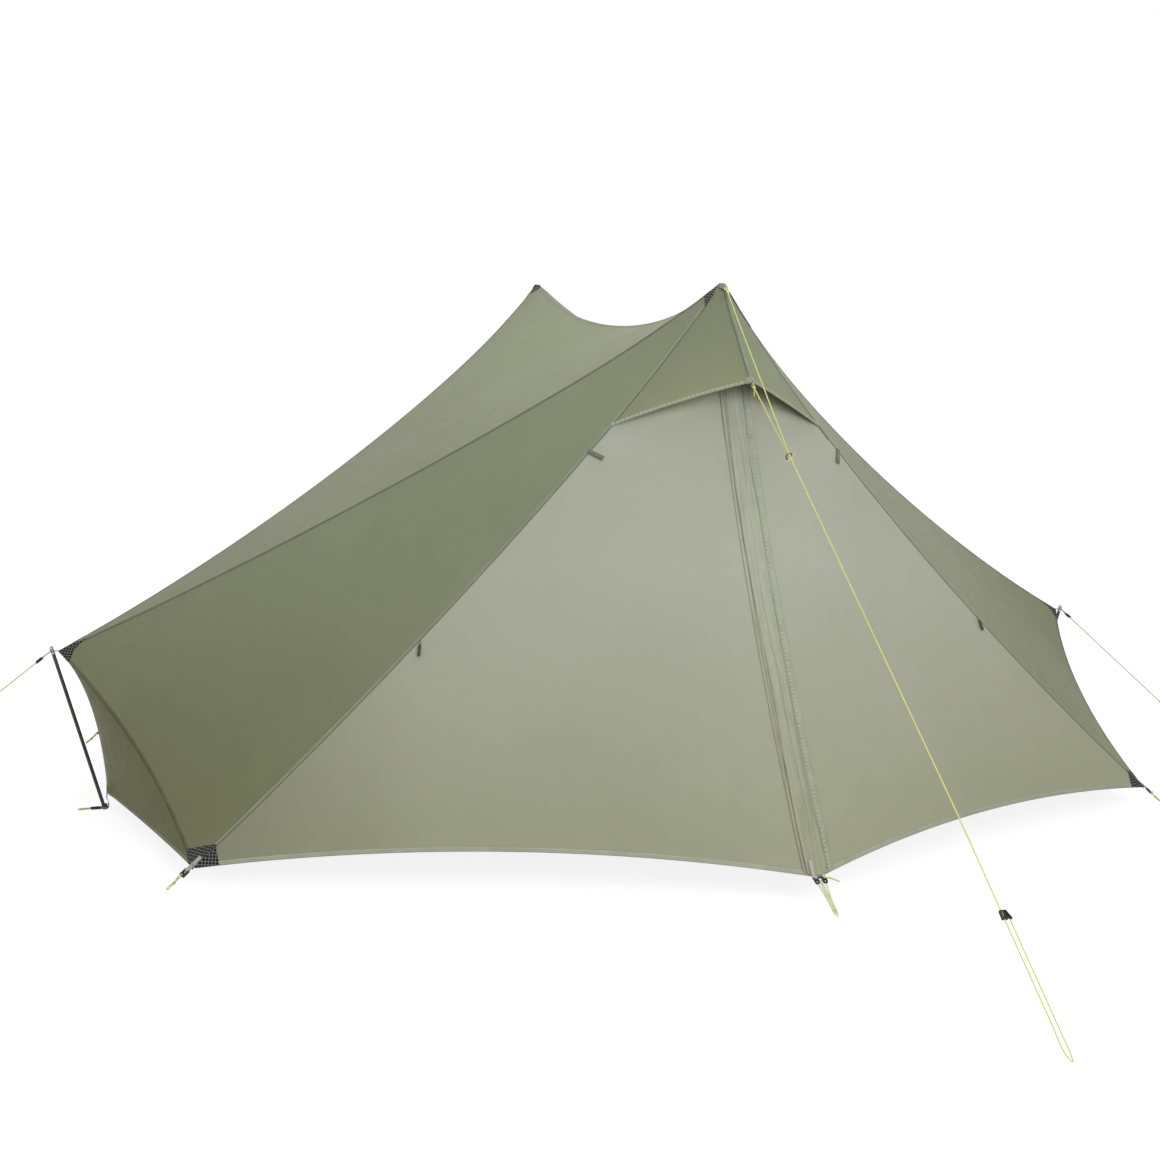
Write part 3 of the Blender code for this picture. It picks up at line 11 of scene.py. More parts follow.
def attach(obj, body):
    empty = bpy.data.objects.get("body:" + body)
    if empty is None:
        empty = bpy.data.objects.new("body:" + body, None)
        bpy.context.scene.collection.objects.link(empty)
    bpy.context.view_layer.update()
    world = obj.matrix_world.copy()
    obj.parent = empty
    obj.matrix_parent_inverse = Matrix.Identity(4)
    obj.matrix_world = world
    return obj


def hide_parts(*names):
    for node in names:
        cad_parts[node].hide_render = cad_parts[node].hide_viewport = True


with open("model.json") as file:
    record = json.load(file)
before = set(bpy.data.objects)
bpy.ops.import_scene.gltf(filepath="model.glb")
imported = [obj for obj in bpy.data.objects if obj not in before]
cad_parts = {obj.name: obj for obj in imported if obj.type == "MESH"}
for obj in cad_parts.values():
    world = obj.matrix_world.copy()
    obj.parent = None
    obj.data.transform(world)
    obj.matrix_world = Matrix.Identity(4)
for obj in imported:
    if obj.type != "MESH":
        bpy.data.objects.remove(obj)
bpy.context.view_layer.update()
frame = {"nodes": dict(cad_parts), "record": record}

# The fly's own sizes, as the solids have them
PEAK_HEIGHT = 1.192
PEAK_Y = 0.571
RIDGE_SAG = 0.078
CORNER_X, CORNER_Y, CORNER_Z = 1.135, 0.640, 0.042
DOOR_FOOT_Y, DOOR_FOOT_Z = 1.098, 0.058
TIP_X, TIP_Z = 1.318, 0.366
END_HEM_X, END_HEM_Z = 1.216, 0.037
CENTRE = np.array((0.0, 0.0, 0.25))
CORNERS = {
    "PF": np.array((0.0, -PEAK_Y, PEAK_HEIGHT)),
    "R": np.array((0.0, 0.0, PEAK_HEIGHT - RIDGE_SAG)),
    "LT": np.array((-TIP_X, 0.0, TIP_Z)),
    "FL": np.array((-CORNER_X, -CORNER_Y, CORNER_Z)),
    "ML": np.array((-END_HEM_X, 0.0, END_HEM_Z)),
    "F": np.array((0.0, -DOOR_FOOT_Y, DOOR_FOOT_Z)),
}
PANELS = {"roof": ("PF", "R", "LT"), "side": ("PF", "LT", "FL"), "end": ("LT", "ML", "FL"),
          "door": ("PF", "FL", "F")}
PANEL_STRESS = {"roof": 1.50, "side": 1.00, "end": 0.81, "door": 1.13}
SEAM_TENSION = {
    ("PF", "R"): 2.47, ("PF", "LT"): 3.72, ("PF", "FL"): 4.17, ("LT", "FL"): 1.38,
    ("LT", "ML"): 0.24, ("FL", "F"): 5.09, ("ML", "FL"): 8.27, ("PF", "F"): 3.25,
}
FORM_STEPS, PANEL_STEPS = 5, 4
PEAK_ROWS = [0.0, 0.08, 0.16, 0.235, 0.26, 0.35, 0.44, 0.53, 0.62, 0.71, 0.80, 0.90, 1.0]
CLOTH = 0.0008
VISOR_SHARE, LEAF_SHARE = 0.235, 0.26
VISOR_OUT, VISOR_DROP, VISOR_HEM_RISE, VISOR_HEM_SLOPE = 0.156, 0.190, 0.006, 0.47
STRUT_FOOT_OUT, STRUT_TOP_OUT, STRUT_TOP_UP = 0.006, 0.016, 0.011

# The inner tent, and its floor: where the walls start, how they stand, and the crinkles between them
INNER_X, INNER_Y, INNER_RIM = CORNER_X - 0.095, CORNER_Y - 0.165, 0.1004
INNER_PEAK_DOWN, INNER_PEAK_IN, INNER_SAG = 0.152, 0.116, 0.080
INNER_TIP_IN, INNER_TIP_DOWN = 0.318, 0.036
INNER_TENSION, INNER_RIM_TENSION, INNER_ROWS, DOORWAY_ROW, DOORWAY_STEP = 6.0, 60.0, 24, 8, 4
TRAY_ROWS, TRAY_COUNT, TRAY_WALL_FROM, TRAY_SQUARENESS = 26, 200, 0.7, 0.16
TRAY_LOW, TRAY_LOWEST, TRAY_CRINKLE = 0.0012, 0.0010, 0.0010
TRAY_WALL, TRAY_LEAN, TRAY_SAG = 0.0985, 0.030, 0.006

# Rows of a fine panel, with no row inside the gap between the visor's hem and the leaf
FINE = 48
FINE_VISOR, FINE_LEAF = 11, 12
FINE_ROWS = list(np.linspace(0.0, VISOR_SHARE, FINE_VISOR + 1)) \
    + list(np.linspace(LEAF_SHARE, 1.0, FINE - FINE_LEAF + 1))

# The cloth over a pole's head: how far it stands proud there, and the flat top with its soft edge
PEAK_RISE, PEAK_REACH, HEAD_RISE, HEAD_REACH = 0.0112, 0.19, 0.0145, 0.028
HEAD_TOP, HEAD_SOFT = 0.0125, 0.0015
CAP_BACK, CAP_FRONT, CAP_LIFT, CAP_RIM = 0.0050, 0.0135, 0.0010, 0.024
FLAT_GAP, PATCH, FIT_GAP = 0.0004, 0.0010, 0.0003

# Cords
CORD_RADIUS = 0.00125
THIN_CORD = CORD_RADIUS * 0.95
PEG_HEIGHT = CORD_RADIUS + 0.002
GUY_FOOT_Y = 1.905
TENSIONER_UP, TENSIONER_LENGTH, TENSIONER_REACH = 0.2606, 0.018, 0.170
RETURN_SPACING = 0.010
RING_OUT, RING_BEND, RING_PULL = 0.180, 0.012, (0.003, -0.039)
VISOR_TAB_OUT, VISOR_TAB_DROP = 0.003, 0.0035
END_GUY_FOOT_X = 1.800
END_GUY_SHOWN_X = {1: 1.470, -1: 1.715}
PEG_LOOP, LINE_BEND, LINE_STRAIGHT = 0.005, 0.012, 0.060
CORNER_PEG_OUT, DOOR_PEG_OUT, STRUT_PEG_X = 0.052, 0.078, 1.280
CORD_END, CORD_STRAIGHT = 0.0006, 0.004
LOCK_LENGTH, HEAD_HOLE = 0.018, 0.0037

# The photograph's camera
CAMERA_PLACE = (-1.751, -4.193, 1.143)
CAMERA_YAW, CAMERA_PITCH, CAMERA_ROLL = 0.379, 0.144, 0.0255
CAMERA_LENS = 57.88

# Light: lamps as (name, place, diameter, power), the sky, and the floor's own grey and glow
LAMPS = (("key", (-0.3, -4.4, 2.3), 2.8, 98.0), ("top", (0.2, 0.4, 3.2), 3.0, 42.0))
LAMPS_AIM = np.array((0.0, 0.0, 0.4))
SKY_LIGHT, SKY_SEEN, STAGE_GREY, STAGE_GLOW = 0.50, 1.0, 0.30, 0.87

SIDE = {1: "left", -1: "right"}
END = {1: "front", -1: "back"}
QUARTERS = [(side, end) for side in (1, -1) for end in (1, -1)]
X, Y, Z = np.eye(3)
WHITE = (1.0, 1.0, 1.0)


def unit(v):
    return np.array(v, float) / np.linalg.norm(v)


def units(v):
    return v / np.maximum(np.linalg.norm(v, axis=-1, keepdims=True), 1e-12)


def square_to(way, along):
    """The unit way nearest to a way that is square to another."""
    return unit(way - along * (way @ along))


def upward(way):
    return way if way[2] > 0 else -way


def mirrored(points, side, end):
    return np.array(points, float) * np.array((side, end, 1.0))


def placed(origin, ways, *rows):
    """Points from an origin; each row says how many millimetres to go along each of the ways."""
    return origin + np.array(rows) / 1000 @ np.array(ways)


def over_pole(points, lift=0.0):
    """Points of the fly raised round the nearest peak, as the pole's head pushes the cloth up."""
    points = np.array(points, float)
    x, y, z = np.moveaxis(points, -1, 0)
    far = np.sqrt(x ** 2 + (np.abs(y) - PEAK_Y) ** 2 + (z - PEAK_HEIGHT) ** 2)
    high = z - PEAK_HEIGHT + PEAK_RISE * np.exp(-(far / PEAK_REACH) ** 2) \
        + HEAD_RISE * np.exp(-(far / HEAD_REACH) ** 2)
    top = HEAD_TOP + lift
    points[..., 2] = PEAK_HEIGHT + top - HEAD_SOFT * np.logaddexp(0.0, (top - high) / HEAD_SOFT)
    return points


def link(name, data, place=(0.0, 0.0, 0.0), look=None, roll=0.0):
    """Put data in the scene as an object, turned to look along a way if one is given."""
    made = bpy.data.objects.new(name, data)
    made.location = place
    if look is not None:
        made.rotation_mode = "QUATERNION"
        made.rotation_quaternion = (Vector(look).to_track_quat("-Z", "Y")
                                    @ Quaternion((0.0, 0.0, 1.0), roll))
    bpy.context.scene.collection.objects.link(made)
    return made


# Materials

class Wire:
    """What a node gives; arithmetic on it adds the nodes that work it out."""

    def __init__(self, nodes, socket):
        self.nodes, self.socket = nodes, socket

    def __add__(self, other):
        return self.nodes.math("ADD", self, other)

    def __sub__(self, other):
        return self.nodes.math("SUBTRACT", self, other)

    def __rsub__(self, other):
        return self.nodes.math("SUBTRACT", other, self)

    def __mul__(self, other):
        return self.nodes.math("MULTIPLY", self, other)

    def __truediv__(self, other):
        return self.nodes.math("DIVIDE", self, other)

    def __abs__(self):
        return self.nodes.math("ABSOLUTE", self)

    def spread(self, low, high, out_low=0.0, out_high=1.0):
        return self.nodes.give("MapRange", ("Value", self), ("From Min", low), ("From Max", high),
                               ("To Min", out_low), ("To Max", out_high))

    def around(self, middle, near, far, most=1.0):
        """Most within one distance of a place, and 0 from another distance on."""
        return abs(self - middle).spread(near, far, most, 0.0)


class Nodes:
    """A node tree that is written as sums."""

    def __init__(self, tree, clear=False):
        self.tree = tree
        if clear:
            tree.nodes.clear()

    def node(self, kind, *wires, **values):
        """Add a node; wires are (input name or number, wire or value)."""
        made = self.tree.nodes.new("ShaderNode" + kind)
        for name, value in values.items():
            setattr(made, name, value)
        for name, source in wires:
            self.wire(source, made.inputs[name])
        return made

    def wire(self, source, socket):
        if isinstance(source, Wire):
            self.tree.links.new(source.socket, socket)
        else:
            socket.default_value = (*source, 1.0) if socket.type == "RGBA" else source

    def give(self, kind, *wires, out=0, **values):
        return Wire(self, self.node(kind, *wires, **values).outputs[out])

    def math(self, operation, a, b=0.0):
        return self.give("Math", (0, a), (1, b), operation=operation)

    def split(self, vector):
        return [Wire(self, socket) for socket in self.node("SeparateXYZ", (0, vector)).outputs]

    def mix(self, share, first, second, blend="MIX"):
        return self.give("Mix", (0, share), (6, first), (7, second), out=2, data_type="RGBA",
                         blend_type=blend)

    def rays(self, *names):
        """1 for a ray of one of the kinds named, and 0 for others."""
        path = self.node("LightPath")
        found = Wire(self, path.outputs[names[0]])
        for name in names[1:]:
            found = self.math("MAXIMUM", found, Wire(self, path.outputs[name]))
        return found


def shade(colour, factor):
    return tuple(c * factor for c in colour)


class Finish(Nodes):
    """A material: one shader, with nodes for its colour, roughness and bump."""

    def __init__(self, name, roughness, **inputs):
        self.made = bpy.data.materials.new(name)
        self.made.use_nodes = True
        super().__init__(self.made.node_tree)
        where = self.node("TexCoord")
        self.uv, self.place = Wire(self, where.outputs["UV"]), Wire(self, where.outputs["Object"])
        self.put(Roughness=roughness, **inputs)

    def put(self, **inputs):
        """Set inputs of the shader; an input's name has _ for its spaces."""
        shader = self.tree.nodes["Principled BSDF"]
        for name, source in inputs.items():
            self.wire(source, shader.inputs[name.replace("_", " ")])

    def done(self, colour, height=None, strength=1.0, distance=1.0):
        self.put(Base_Color=colour)
        if height:
            self.put(Normal=self.give("Bump", ("Height", height), ("Strength", strength),
                                      ("Distance", distance)))
        return self.made

    def noise(self, scale, detail, vector=None):
        return self.give("TexNoise", ("Vector", vector or self.place), ("Scale", scale),
                         ("Detail", detail), out="Fac")

    def stretched(self, vector, scale):
        return self.give("Mapping", ("Vector", vector), ("Scale", scale))

    def mottled(self, colour, worn, low, high):
        return self.mix(worn.spread(0.3, 0.7), shade(colour, low), shade(colour, high))

    def scaled(self, base, factor):
        return self.mix(1.0, base, factor, "MULTIPLY")

    def shaded_by_height(self, base, low, high=WHITE):
        """Painted shade and light: a colour times low by the ground and times high towards the peaks."""
        height = self.split(self.place)[2]
        return self.mix(height.spread(0.10, 0.62), self.scaled(base, low), self.scaled(base, high))

    def repeat(self, way, step):
        """Where a place is in its own step, from 0 to 1."""
        return self.math("FRACT", way / step)

    def grid(self, step, width):
        """1 on the thin lines of a square grid."""
        u, v, _ = self.split(self.uv)
        lines = [self.math("LESS_THAN", self.repeat(way, step), width / step) for way in (u, v)]
        return self.math("MAXIMUM", *lines)

    def folds(self):
        """Height in metres of soft creases that run out of a panel's corners, from its fan UVs."""
        second, third, _ = self.split(self.give("UVMap", uv_map="fan"))
        first = 1.0 - second - third
        made = None
        for seed, (near, a, b, reach, count, depth) in enumerate((
                (first, second, third, 0.42, 11.0, 0.011),
                (second, first, third, 0.75, 13.0, 0.010),
                (third, first, second, 0.50, 8.0, 0.007))):
            turn = b / self.math("MAXIMUM", a + b, 0.0001)
            away = 1.0 - near
            place = self.give("CombineXYZ", (0, turn * count), (1, away * 1.6), (2, 7.3 * seed + 0.4))
            wave = self.noise(1.0, 1.0, place) - 0.5
            crease = away * depth * (away.spread(0.0, reach, 1.0, 0.0) * wave)
            made = crease if made is None else made + crease
        return made


def fabric(name, colour, roughness=0.55, spread=0.06, low=WHITE, high=WHITE, left_end_shade=1.0,
           painted_visor_light=None):
    """Coated ripstop: thicker threads, soft blotches, crinkles, and folds out of a panel's corners.

    Light that comes through the thin cloth is a short scatter. The factors low and high are painted
    shade on its lower part and painted light on its upper part; the factor after them is painted
    shade on its left end, and the last colour is painted light on the cloth under the visor's hem.
    """
    made = Finish(name, roughness, Sheen_Weight=0.05, Sheen_Roughness=0.5, Specular_IOR_Level=0.2,
                  Subsurface_Weight=0.6, Subsurface_Scale=0.006, Subsurface_Radius=(1.0, 1.0, 0.7))
    threads = made.grid(0.005, 0.0007)
    x, _, height = made.split(made.place)
    base = made.mottled(colour, made.noise(2.3, 3.0), 1 - spread, 1 + spread)
    # Painted shade towards the ground and painted light towards the peaks.
    base = made.shaded_by_height(base, low, high)
    # Painted shade: the colour darkens towards the tent's left end.
    base = made.mix(x.spread(-1.10, -0.70), made.scaled(base, (left_end_shade,) * 3), base)
    # Painted light: below the visor's hem, where its shadow falls, the colour turns a brighter olive, as if
    # lit through the visor.
    if painted_visor_light:
        hem = PEAK_HEIGHT - VISOR_DROP - abs(x) * VISOR_HEM_SLOPE
        share = (hem - height).spread(0.006, 0.038, 1.0, 0.0) * abs(x).spread(0.06, 0.19, 1.0, 0.0)
        base = made.mix(share, base, painted_visor_light)
    crinkle = made.noise(38.0, 4.0)
    made.put(Roughness=crinkle.spread(0.3, 0.7, roughness - 0.06, roughness + 0.06))
    return made.done(made.mix(threads * 0.22, base, shade(colour, 0.82)),
                     crinkle * 0.00028 + threads * 0.00005 + made.folds())


def ripstop_patch():
    """Heavier black ripstop with its pale grid."""
    made = Finish("patch_ripstop", 0.6, Specular_IOR_Level=0.15)
    lines = made.grid(0.0066, 0.0011)
    return made.done(made.mix(lines * 0.6, (0.006, 0.006, 0.006), (0.36, 0.36, 0.33)), lines, 0.35,
                     0.0004)


def stitched(name, colour, dark, rows, gather=0.0, dash_step=0.0042, thread=1.7, middle=0.0):
    """Seam or tape: painted shade in the fold along its middle, rows of stitches, and gathers along it."""
    made = Finish(name, 0.7, Specular_IOR_Level=0.2)
    u, v, _ = made.split(made.uv)
    base = made.mottled(colour, made.noise(30.0, 3.0), 0.90, 1.10)
    # Painted shade in the fold along the middle; dark is how deep it is.
    base = made.mix(v.around(middle, 0.0004, 0.0014, dark), base, shade(colour, 0.30))
    relief = made.noise(1.0, 2.0, made.stretched(made.uv, (170.0, 40.0, 1.0))) * gather
    dash = made.math("LESS_THAN", made.repeat(u, dash_step), 0.68)
    for row in rows:
        stitch = v.around(row, 0.0004, 0.0008) * dash
        base = made.mix(stitch * 0.75, base, shade(colour, thread))
        relief = relief + stitch * 0.0003
    return made.done(base, relief)


def creased(name, colour, lines):
    """Slack cloth with creases along it, with painted shade in each crease and a painted highlight beside
    it: lines are (place across, half width, darkness).
    """
    made = Finish(name, 0.6, Specular_IOR_Level=0.2)
    u, v, _ = made.split(made.uv)
    worn = made.noise(30.0, 3.0)
    # Painted shade towards the ground.
    base = made.shaded_by_height(made.mottled(colour, worn, 0.95, 1.05), (0.80, 0.80, 0.70))
    relief = worn * 0.0003
    for k, (row, wide, dark) in enumerate(lines):
        place = made.give("CombineXYZ", (0, u * 5.0), (1, 3.7 * k))
        off = v - ((made.noise(1.0, 2.0, place) - 0.5) * 0.010 + row)
        near = off.around(0.0, wide * 0.3, wide) \
            * made.noise(1.7, 1.0, place).spread(0.30, 0.55, 0.45, 1.0)
        # Painted shade in the crease, and a painted highlight beside it.
        base = made.mix(near * dark, base, shade(colour, 0.30))
        light = off.around(wide * 1.9, wide * 0.3, wide, dark * 0.35)
        base = made.mix(light, base, shade(colour, 1.25))
        relief = relief - near * (dark * 0.0012)
    return made.done(base, relief)


def beaded(name, colour):
    """Gathered tape with a row of puckers down its middle, with painted highlights on them and painted
    shade between them, and a dark line on each side.
    """
    made = Finish(name, 0.65, Specular_IOR_Level=0.2)
    u, v, _ = made.split(made.uv)
    # Painted shade towards the ground.
    base = made.shaded_by_height(made.mottled(colour, made.noise(30.0, 3.0), 0.92, 1.06), (0.82, 0.82, 0.74))
    part = made.repeat(u + made.noise(45.0, 1.0) * 0.014, 0.0078)
    row = v.around(0.0345, 0.0018, 0.0040)
    # Painted highlights on the puckers and painted shade between them; both also make the bump.
    light, dark = row * part.around(0.35, 0.15, 0.28, 0.85), row * part.around(0.85, 0.05, 0.15, 0.5)
    base = made.mix(light, base, shade(colour, 1.20))
    base = made.mix(dark, base, shade(colour, 0.62))
    for at, wide, share in ((0.0290, 0.0009, 0.45), (0.0455, 0.0010, 0.35)):
        base = made.mix(v.around(at, wide * 0.3, wide, share), base, shade(colour, 0.35))
    return made.done(base, light - dark, 0.8, 0.0008)


def woven(name, colour):
    """Flat woven tape with cross ribs."""
    made = Finish(name, 0.75, Sheen_Weight=0.2)
    ribs = made.give("TexWave", ("Vector", made.uv), ("Scale", 312.5), ("Distortion", 0.6), out="Fac",
                     bands_direction="X")
    base = made.mix(ribs, shade(colour, 0.80), shade(colour, 1.08))
    worn = made.noise(60.0, 3.0).spread(0.35, 0.75, 0.0, 0.35)
    return made.done(made.mix(worn, base, shade(colour, 0.72)), ribs, 0.5, 0.0004)


def braid(name, colour, fleck):
    """Braided cord with darker flecks of its second yarn."""
    made = Finish(name, 0.6, Sheen_Weight=0.15)
    speck = made.noise(900.0, 1.0)
    return made.done(made.mix(speck.spread(0.52, 0.62), colour, fleck), speck, 0.6, 0.0004)


def moulded(name, colour, roughness=0.42):
    made = Finish(name, roughness)
    wear = made.noise(45.0, 3.0)
    made.put(Roughness=wear.spread(0.3, 0.7, roughness - 0.05, roughness + 0.10))
    return made.done(made.mix(wear.spread(0.5, 0.8), colour, shade(colour, 1.9)),
                     made.noise(1400.0, 2.0), 0.25, 0.0002)


def metal(name, colour, roughness=0.33):
    made = Finish(name, roughness, Metallic=1.0)
    brushed = made.noise(1.0, 3.0, made.stretched(made.place, (60.0, 60.0, 900.0)))
    made.put(Roughness=brushed.spread(0.3, 0.7, roughness - 0.05, roughness + 0.07))
    return made.done(made.mottled(colour, brushed, 0.92, 1.06))


def netting(name):
    made = Finish(name, 0.8, Alpha=0.55)
    weave = made.noise(700.0, 1.0)
    return made.done(made.mix(weave.spread(0.4, 0.6), (0.075, 0.082, 0.082), (0.13, 0.14, 0.14)))


def make_looks():
    """The material and slot of each look. A slot's first look is also that of the solids in it."""
    black = moulded("black_plastic", (0.012, 0.012, 0.013))
    slots = {
        "fly_fabric": {
            # The fly's low factor is painted shade towards the ground.
            "fly": fabric("fly_fabric", (0.242, 0.263, 0.165), low=(0.78, 0.77, 0.61)),
            # The end panels' fly cloth as a darker, yellower copy: painted shade where they face down and
            # away, with more painted shade towards the ground.
            "end": fabric("shaded_end_fabric", (0.216, 0.220, 0.078), low=(0.84, 0.81, 0.60))},
        "door_fabric": {
            # The door's factors after roughness and spread: painted shade towards the ground, painted light
            # towards the peaks, painted shade on the left end; its last colour is painted light below the
            # visor's hem.
            "door": fabric("door_fabric", (0.440, 0.458, 0.352), 0.5, 0.04, (0.80, 0.80, 0.68),
                           (1.06, 1.06, 1.04), 0.74, (0.64, 0.66, 0.42))},
        "seam_fabric": {
            # The third number of each stitched look is the painted shade in its middle fold.
            "seam": stitched("seam_fabric", (0.150, 0.163, 0.108), 0.35, (-0.0024, 0.0022), 0.0006),
            "felled": stitched("felled_seam", (0.245, 0.262, 0.185), 0.75,
                               (-0.0060, -0.0022, 0.0022), 0.0006),
            "fold": stitched("folded_seam", (0.135, 0.145, 0.080), 0.2, (), 0.0006),
            "hem": stitched("hem_tape", (0.335, 0.360, 0.270), 0.0, (0.0018, 0.0066), 0.0010),
            "zigzag": stitched("zigzag_tape", (0.30, 0.32, 0.23), 0.0, (0.0014, 0.0034, 0.0054),
                               0.0014, 0.0105, 1.75),
            "rib": stitched("rib_seam", (0.275, 0.295, 0.212), 0.85, (0.0016, 0.0036), 0.0006,
                            middle=-0.0034),
            "zip": stitched("zip_tape", (0.06, 0.065, 0.045), 0.4, (0.0050,), 0.0010),
            "flap": creased("flap_fabric", (0.400, 0.415, 0.325), (
                (-0.0225, 0.0014, 0.55), (-0.0120, 0.0009, 0.22), (-0.0010, 0.0011, 0.28),
                (0.0105, 0.0009, 0.22), (0.0215, 0.0015, 0.60))),
            "strip": beaded("bumpy_strip", (0.400, 0.425, 0.330))},
        "floor_fabric": {"floor": fabric("floor_fabric", (0.13, 0.15, 0.14), 0.5)},
        "patch_ripstop": {"patch": ripstop_patch(), "edging": black},
        "webbing": {
            "webbing": woven("webbing", (0.46, 0.46, 0.41)),
            "tab": woven("folded_tab", (0.33, 0.345, 0.270)),
            "ribbon": woven("pale_ribbon", (0.66, 0.62, 0.57)),
            "cap": woven("cap_cloth", (0.24, 0.25, 0.205)),
            "elastic": woven("elastic_ribbon", (0.165, 0.172, 0.118))},
        "cord": {"cord": braid("cord", (0.72, 0.78, 0.24), (0.40, 0.47, 0.12))},
        "black_plastic": {"black": black,
                          "toggle": moulded("toggle_plastic", (0.040, 0.050, 0.030), 0.45)},
        "carbon_tube": {"carbon": moulded("carbon_tube", (0.040, 0.037, 0.031), 0.24)},
        "grip_foam": {"foam": moulded("grip_foam", (0.045, 0.045, 0.050), 0.85)},
        "pole_aluminium": {"metal": metal("pole_aluminium", (0.35, 0.36, 0.37)),
                           "ferrule": metal("ferrule_metal", (0.55, 0.55, 0.53), 0.4)},
        "inner_mesh": {
            "mesh": netting("inner_mesh"),
            "binding": stitched("binding_tape", (0.05, 0.055, 0.050), 0.0, (0.0020,), 0.0006)},
    }
    return {look: (material, slot) for slot, looks in slots.items() for look, material in looks.items()}


LOOKS = make_looks()


def add_object(name, points, faces, look, body="tent", uv=None, smooth=60, fan=None):
    """One object from points in the frame; uv and fan hold a (u, v) for each point."""
    mesh = bpy.data.meshes.new(name)
    mesh.from_pydata(np.array(points, float).tolist(), [], [tuple(int(n) for n in f) for f in faces])
    mesh.update()
    for word, values in (("UVMap", uv), ("fan", fan)):
        if values is not None:
            layer = mesh.uv_layers.new(name=word)
            index = np.zeros(len(mesh.loops), int)
            mesh.loops.foreach_get("vertex_index", index)
            layer.data.foreach_set("uv", np.array(values, np.float32)[index].ravel())
    mesh.shade_smooth()
    mesh.set_sharp_from_angle(angle=radians(smooth))
    material, slot = LOOKS[look]
    mesh.materials.append(material)
    made = link(name, mesh)
    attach(made, body)
    return made


# Form of the fly

def triangle_rows(count):
    """Keys (row, step) of a triangle of points, and its faces as numbers of those keys."""
    keys = np.array([(row, step) for row in range(count + 1) for step in range(row + 1)])
    faces = []
    for n, (row, step) in enumerate(keys[:-count - 1]):
        below = n + row + 1
        faces.append((n, below, below + 1))
        if step < row:
            faces.append((n, below + 1, n + 1))
    return keys, np.array(faces)


def find_form(corners, rows, stress, tension):
    """Balanced shape of a quarter of the tent, as the solids' source finds it: its seams' points."""
    count = len(rows) - 1
    even = np.linspace(0.0, 1.0, count + 1)
    points, edges = list(corners.values()), {}
    ids = {key: n for n, key in enumerate(corners)}

    def vertex(place):
        points.append(place)
        return len(points) - 1

    def edge(first, second):
        if (first, second) not in edges:
            way = corners[second] - corners[first]
            inside = [vertex(corners[first] + way * share)
                      for share in (rows if first == "PF" else even)[1:-1]]
            edges[first, second] = [ids[first]] + inside + [ids[second]]
        return edges[first, second]

    keys, faces = triangle_rows(count)
    index, film = [], []
    for name, (a, b, c) in PANELS.items():
        ab, bc, ac = edge(a, b), edge(b, c), edge(a, c)
        shares = rows if a == "PF" else even
        grid = []
        for row, step in keys:
            if step == 0 or step == row:
                grid.append((ac if step else ab)[row])
            elif row == count:
                grid.append(bc[step])
            else:
                along = corners[b] + (corners[c] - corners[b]) * (step / row)
                grid.append(vertex(corners[a] + (along - corners[a]) * shares[row]))
        index.append(np.array(grid)[faces])
        film.append(np.full(len(faces), stress[name]))
    place, index, film = np.array(points), np.concatenate(index), np.concatenate(film)
    on_x, on_y = (np.abs(place[:, axis]) < 1e-9 for axis in (0, 1))
    held = np.isin(np.arange(len(place)), [ids[key] for key in corners if key != "R"])
    for _ in range(FORM_STEPS):
        weight = film_weights(place, index, film)
        for key, line in edges.items():
            halved = 0.5 if on_x[line].all() or on_y[line].all() else 1.0
            for u, v in zip(line, line[1:]):
                force = tension.get(key, 0.0) * halved / np.linalg.norm(place[u] - place[v])
                weight[u, v] += force
                weight[v, u] += force
        place = relaxed(place, weight, [held | on_x, held | on_y, held])
    return {key: place[line] for key, line in edges.items()}


def film_weights(place, index, film):
    """Force density between points of an evenly stressed film."""
    weight = np.zeros((len(place), len(place)))
    for turn in range(3):
        i, j, k = (index[:, (turn + n) % 3] for n in range(3))
        u, v = place[j] - place[i], place[k] - place[i]
        area = np.maximum(np.linalg.norm(np.cross(u, v), axis=1), 1e-9)
        cot = film * (u * v).sum(axis=1) / area / 2
        np.add.at(weight, (j, k), cot)
        np.add.at(weight, (k, j), cot)
    return weight


def relaxed(place, weight, fixed_by_axis):
    """The points where the forces balance, but for those that are fixed."""
    stiff = np.diag(weight.sum(axis=1)) - weight
    moved = place.copy()
    for axis, fixed in enumerate(fixed_by_axis):
        free = ~fixed
        right = -stiff[np.ix_(free, fixed)] @ place[fixed, axis]
        moved[free, axis] = np.linalg.solve(stiff[np.ix_(free, free)], right)
    return moved


def spline(knots, values, at):
    """Smooth curve through values at the knots, read at some places."""
    x, y, at = np.array(knots, float), np.array(values, float), np.array(at, float)
    h = np.diff(x)
    system = np.eye(len(x))
    right = np.zeros_like(y)
    for i in range(1, len(x) - 1):
        system[i, i - 1:i + 2] = h[i - 1], 2 * (h[i - 1] + h[i]), h[i]
        right[i] = 6 * ((y[i + 1] - y[i]) / h[i] - (y[i] - y[i - 1]) / h[i - 1])
    m = np.linalg.solve(system, right)
    k = np.clip(np.searchsorted(x, at, side="right") - 1, 0, len(x) - 2)
    hk, a, b = h[k, None], (x[k + 1] - at)[:, None], (at - x[k])[:, None]
    return (m[k] * a ** 3 + m[k + 1] * b ** 3) / (6 * hk) + (y[k] / hk - m[k] * hk / 6) * a \
        + (y[k + 1] / hk - m[k + 1] * hk / 6) * b


